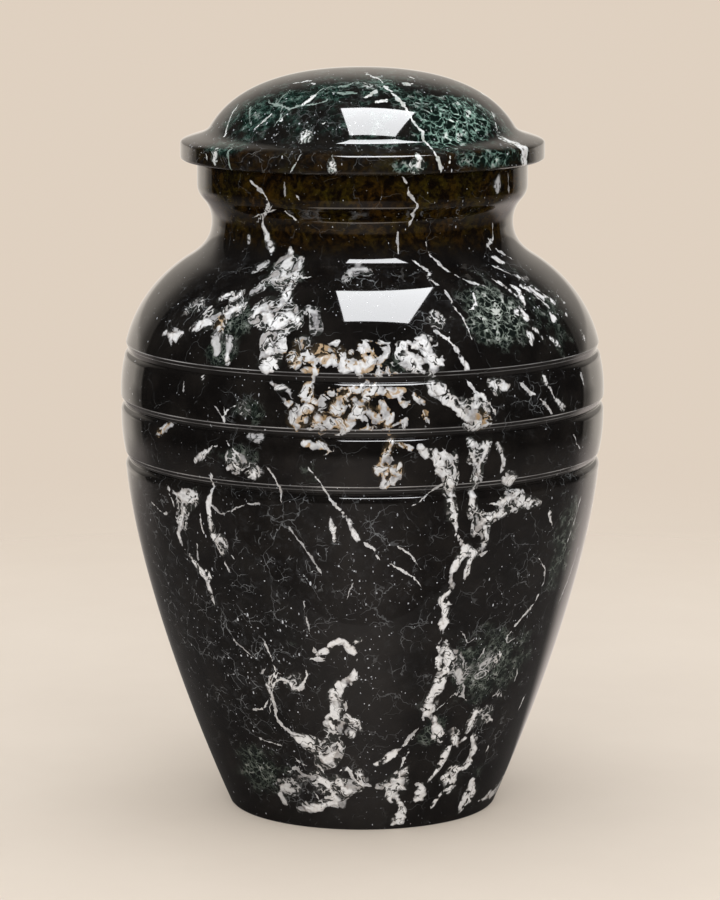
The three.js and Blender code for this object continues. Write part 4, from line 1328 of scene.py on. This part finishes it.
def make_body():
    """The vessel, with its veins, patches and the olive tint of its neck.

    The calcite's tone falls off by a bell round the belly: exp of minus the squared offset in height.
    """
    body, places = turned_piece("urn_body_stone", body_outline())
    height = places[2]
    veins = vein_field(places, [
        (WHITE_VEINS, *WHITE), (CREAM_VEINS, *CREAM), (GREY_VEINS, *GREY),
        (back_veins(*BODY_BACK_VEINS), *BACK),
    ])
    veins["tone"] *= 1 - BELLY_GREY * np.exp(-((height - BELLY_MIDDLE) / BELLY_SPREAD) ** 2)
    paint(body, veins)
    paint(body, {
        "breccia": patch_field(places, [*BRECCIA_PATCHES, *back_patches(*BODY_BACK_BRECCIA)]),
        "lace": patch_field(places, [*LACE_PATCHES, *back_patches(*BODY_BACK_LACE)]),
        "green": patch_field(places, [*GREEN_PATCHES, *back_patches(*BODY_BACK_GREEN)]),
        "coarse": np.maximum(BODY_COARSE, patch_field(places, COARSE_PATCHES)),
        "haze": patch_field(places, [*HAZE_PATCHES, *back_patches(*BODY_BACK_HAZE)]),
        "olive": NECK_TINT * smooth_rise(height, *NECK_TINT_HEIGHTS),
        "specks": np.maximum(BODY_SPECKS, patch_field(places, SPECK_PATCHES)),
    })
    body.data.materials.append(marble("body_marble", **BODY_STONE))
    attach(body, "root")
    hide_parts("urn_body")


def make_lid():
    """The lid, greener than the vessel."""
    lid, places = turned_piece("urn_lid_stone", lid_outline())
    angle, radius, height = places
    paint(lid, vein_field(places, [
        (LID_WHITE_VEINS, *WHITE), (LID_GREEN_VEINS, *LID_GREEN), (back_veins(*LID_BACK_VEINS), *LID_BACK),
    ]))
    net = patch_field(places, [*LID_NET_PATCHES, *back_patches(*LID_BACK_NET)])
    paint(lid, {
        "breccia": np.zeros(len(height)),
        "lace": patch_field(places, LID_LACE_PATCHES),
        "green": np.maximum(net, DOME_GREEN * smooth_rise(height, *DOME_GREEN_HEIGHTS)),
        "coarse": smooth_rise(radius * np.sin(np.radians(angle)), *LID_COARSE_ACROSS),
        "haze": np.full(len(height), LID_HAZE),
        "olive": FLANGE_TINT * (1 - smooth_rise(height, *FLANGE_TINT_HEIGHTS)),
        "specks": np.maximum(LID_SPECKS, patch_field(places, LID_SPECK_PATCHES)),
    })
    lid.data.materials.append(marble("lid_marble", **LID_STONE))
    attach(lid, "root")
    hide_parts("urn_lid")


make_body()
make_lid()


# Stage: a pale table, an overhead softbox and a dim room with a pale screen behind, in metres

TABLE_HALF_WIDTH = 0.85
TABLE_FRONT = -0.95
TABLE_BACK = 0.95
TABLE_TONES = ((0.42, 0.365, 0.31, 1), (0.47, 0.415, 0.355, 1))
TABLE_TONE_SCALE = 9
TABLE_ROUGHNESS = 0.75
TABLE_GLOW = 0.5
TABLE_SOLID_TO = 0.22
TABLE_GONE_BY = 0.80
MIRRORED_FROM = -0.168
BLACK = (0, 0, 0, 1)

# The floor in the stone's mirror: its level in front, what each side takes off, and what is added behind
FLOOR_TINT = (1.0, 0.89, 0.83, 1)
FLOOR_LEVEL = 0.29
FLOOR_LEFT = -0.22
FLOOR_RIGHT = -0.20
FLOOR_BEHIND = 0.6
TABLE_BEHIND_LEFT = 0.0
ROOM_BEHIND_LEFT = 1.2


def floor_tone(tree, towards, behind_left):
    """The floor's colour in the stone's mirror: dim to the left, and brightest behind to the right."""
    left = soft_step(tree, times(tree, towards["X"], -1.0), 0.0, 0.8)
    right = soft_step(tree, towards["X"], 0.05, 0.5)
    front = scaled(tree, left, FLOOR_LEFT, scaled(tree, right, FLOOR_RIGHT, FLOOR_LEVEL))
    side = scaled(tree, left, behind_left, soft_step(tree, towards["X"], 0.0, 0.3))
    behind = times(tree, soft_step(tree, towards["Y"], 0.45, 0.75), side)
    return blend(tree, scaled(tree, behind, FLOOR_BEHIND, front), BLACK, FLOOR_TINT)


def make_table():
    """A flat pale table top with faint clouds of tone and a faint glow, which fades out towards its edge.

    The polished stone mirrors it in its own tone and without the glow, as it would a table that ends close
    by: the mirrored table stops a little way in front of the urn.
    """
    corners = [(-TABLE_HALF_WIDTH, TABLE_FRONT, 0), (TABLE_HALF_WIDTH, TABLE_FRONT, 0),
               (TABLE_HALF_WIDTH, TABLE_BACK, 0), (-TABLE_HALF_WIDTH, TABLE_BACK, 0)]
    mesh = bpy.data.meshes.new("table_top")
    mesh.from_pydata(corners, [], [(0, 1, 2, 3)])
    table = bpy.data.objects.new("table_top", mesh)
    bpy.context.scene.collection.objects.link(table)
    material = bpy.data.materials.new("pale_table")
    material.use_nodes = True
    tree = material.node_tree
    shader = tree.nodes["Principled BSDF"]
    shader.inputs["Roughness"].default_value = TABLE_ROUGHNESS
    shader.inputs["Emission Strength"].default_value = TABLE_GLOW
    place = place_of(tree)
    colour = blend(tree, noise(tree, place, TABLE_TONE_SCALE, 4, 0.6), *TABLE_TONES)
    direction = put(tree, "VectorMath", {"operation": "NORMALIZE"}, _0=place).outputs[0]
    towards = put(tree, "SeparateXYZ", None, Vector=direction).outputs
    mirrored = floor_tone(tree, towards, TABLE_BEHIND_LEFT)
    is_mirrored = put(tree, "LightPath").outputs["Is Glossy Ray"]
    tree.links.new(blend(tree, is_mirrored, colour, mirrored), shader.inputs["Base Color"])
    tree.links.new(blend(tree, is_mirrored, colour, BLACK), shader.inputs["Emission Color"])

    away = put(tree, "VectorMath", {"operation": "LENGTH"}, _0=place).outputs["Value"]
    forward = put(tree, "SeparateXYZ", None, Vector=place).outputs["Y"]
    unseen = times(tree, is_mirrored, calc(tree, "LESS_THAN", forward, MIRRORED_FROM))
    solid = times(tree, soft_fall(tree, away, TABLE_SOLID_TO, TABLE_GONE_BY), less(tree, 1.0, unseen))
    tree.links.new(solid, shader.inputs["Alpha"])
    mesh.materials.append(material)


SOFTBOX_PLACE = (0.14, -0.20, 1.45)
SOFTBOX_SIZE = (0.62, 0.92)
SOFTBOX_POWER = 26.0
SOFTBOX_COLOUR = (0.97, 0.98, 1.0)


def make_softbox():
    """A rectangular softbox over the urn, a little to the front and the right, which the polish mirrors."""
    lamp = bpy.data.lights.new("softbox", "AREA")
    lamp.shape = "RECTANGLE"
    lamp.size, lamp.size_y = SOFTBOX_SIZE
    lamp.energy = SOFTBOX_POWER
    lamp.color = SOFTBOX_COLOUR
    holder = bpy.data.objects.new("softbox", lamp)
    holder.location = SOFTBOX_PLACE
    holder.visible_diffuse = False
    bpy.context.scene.collection.objects.link(holder)


# Broad soft lights, which light the stone and the table but aren't mirrored: place, tilt, size and power
SOFT_LIGHTS = {
    "overhead": ((0.0, -0.1, 2.0), 0, 3.0, 52.0),
    "front": ((0.1, -1.75, 0.75), 70, 1.3, 15.0),
}


def make_soft_lights():
    """The broad lights, each a square that faces down and is then tilted towards the urn."""
    for name, (place, tilt, size, power) in SOFT_LIGHTS.items():
        lamp = bpy.data.lights.new(name, "AREA")
        lamp.shape = "SQUARE"
        lamp.size = size
        lamp.energy = power
        holder = bpy.data.objects.new(name, lamp)
        holder.location = place
        holder.rotation_euler = (math.radians(tilt), 0, 0)
        holder.visible_glossy = False
        bpy.context.scene.collection.objects.link(holder)


ROOM_DARK = (0.016, 0.015, 0.014, 1)
ROOM_SCREEN = (1.0, 0.91, 0.81, 1)
SOFT_SKY = (0.52, 0.515, 0.50, 1)
BACKDROP = (0.74, 0.635, 0.53, 1)
TABLE_EDGE = (2.4, 2.1, 1.8, 1)

# The mirrored room, by the direction that a ray takes: where each thing begins and ends, and its level
SCREEN_EDGE, SCREEN_EDGE_LEVEL = (0.61, 0.65), 0.26
SCREEN_MIDDLE, SCREEN_MIDDLE_LEVEL = (0.66, 0.84), 0.74
SCREEN_DIMS, SCREEN_DIMS_BY = (-0.16, 0.14), 0.42
SCREEN_ENDS = (0.25, 0.70)
BRIGHT_LEVEL, BRIGHT_LEVEL_ADDS = (-0.12, -0.05, 0.0, 0.10), 0.6
FLOOR_STARTS = (-0.30, -0.18)
EDGE_STRIP = (0.775, 0.790, 0.835, 0.850)


def make_room():
    """The room that the stone mirrors, and a plain backdrop for the camera.

    A pale screen stands behind. It grows dimmer upwards, with a brighter stretch about level with the mirror.
    Below is the floor, with a bright strip for the table's edge, and the rest is dim. Rays that light dull
    surfaces get an even pale sky instead, which keeps the shadows soft.
    """
    world = bpy.data.worlds.new("studio")
    bpy.context.scene.world = world
    world.use_nodes = True
    tree = world.node_tree
    background = tree.nodes["Background"]
    towards = put(tree, "SeparateXYZ", None, Vector=put(tree, "TexCoord").outputs["Generated"]).outputs
    back, up = towards["Y"], towards["Z"]
    screen = times(tree, soft_step(tree, back, *SCREEN_EDGE), SCREEN_EDGE_LEVEL)
    screen = scaled(tree, soft_step(tree, back, *SCREEN_MIDDLE), SCREEN_MIDDLE_LEVEL, screen)
    lit = scaled(tree, soft_step(tree, up, *SCREEN_DIMS), -SCREEN_DIMS_BY, 1.0)
    lit = times(tree, lit, soft_fall(tree, up, *SCREEN_ENDS))
    lit = scaled(tree, between(tree, up, *BRIGHT_LEVEL), BRIGHT_LEVEL_ADDS, lit)
    room = blend(tree, times(tree, screen, lit), ROOM_DARK, ROOM_SCREEN)
    floor = floor_tone(tree, towards, ROOM_BEHIND_LEFT)
    room = blend(tree, soft_fall(tree, up, *FLOOR_STARTS), room, floor)
    strip = between(tree, times(tree, up, -1.0), *EDGE_STRIP)
    room = blend(tree, strip, room, TABLE_EDGE)
    ray = put(tree, "LightPath").outputs
    room = blend(tree, ray["Is Diffuse Ray"], room, SOFT_SKY)
    tree.links.new(blend(tree, ray["Is Camera Ray"], room, BACKDROP), background.inputs["Color"])


CAMERA_PLACE = (-0.0009, -1.4568, 0.3779)
CAMERA_TILT = 9.60
CAMERA_LENS = 160.0
CAMERA_SENSOR = 36.0


def make_camera():
    """A long lens in front of the urn and a little above it, tilted down."""
    camera = bpy.data.cameras.new("camera")
    camera.lens = CAMERA_LENS
    camera.sensor_width = CAMERA_SENSOR
    holder = bpy.data.objects.new("camera", camera)
    holder.location = CAMERA_PLACE
    holder.rotation_euler = (math.radians(90 - CAMERA_TILT), 0, 0)
    bpy.context.scene.collection.objects.link(holder)
    bpy.context.scene.camera = holder
    bpy.context.scene.view_settings.view_transform = "Standard"


make_table()
make_softbox()
make_soft_lights()
make_room()
make_camera()
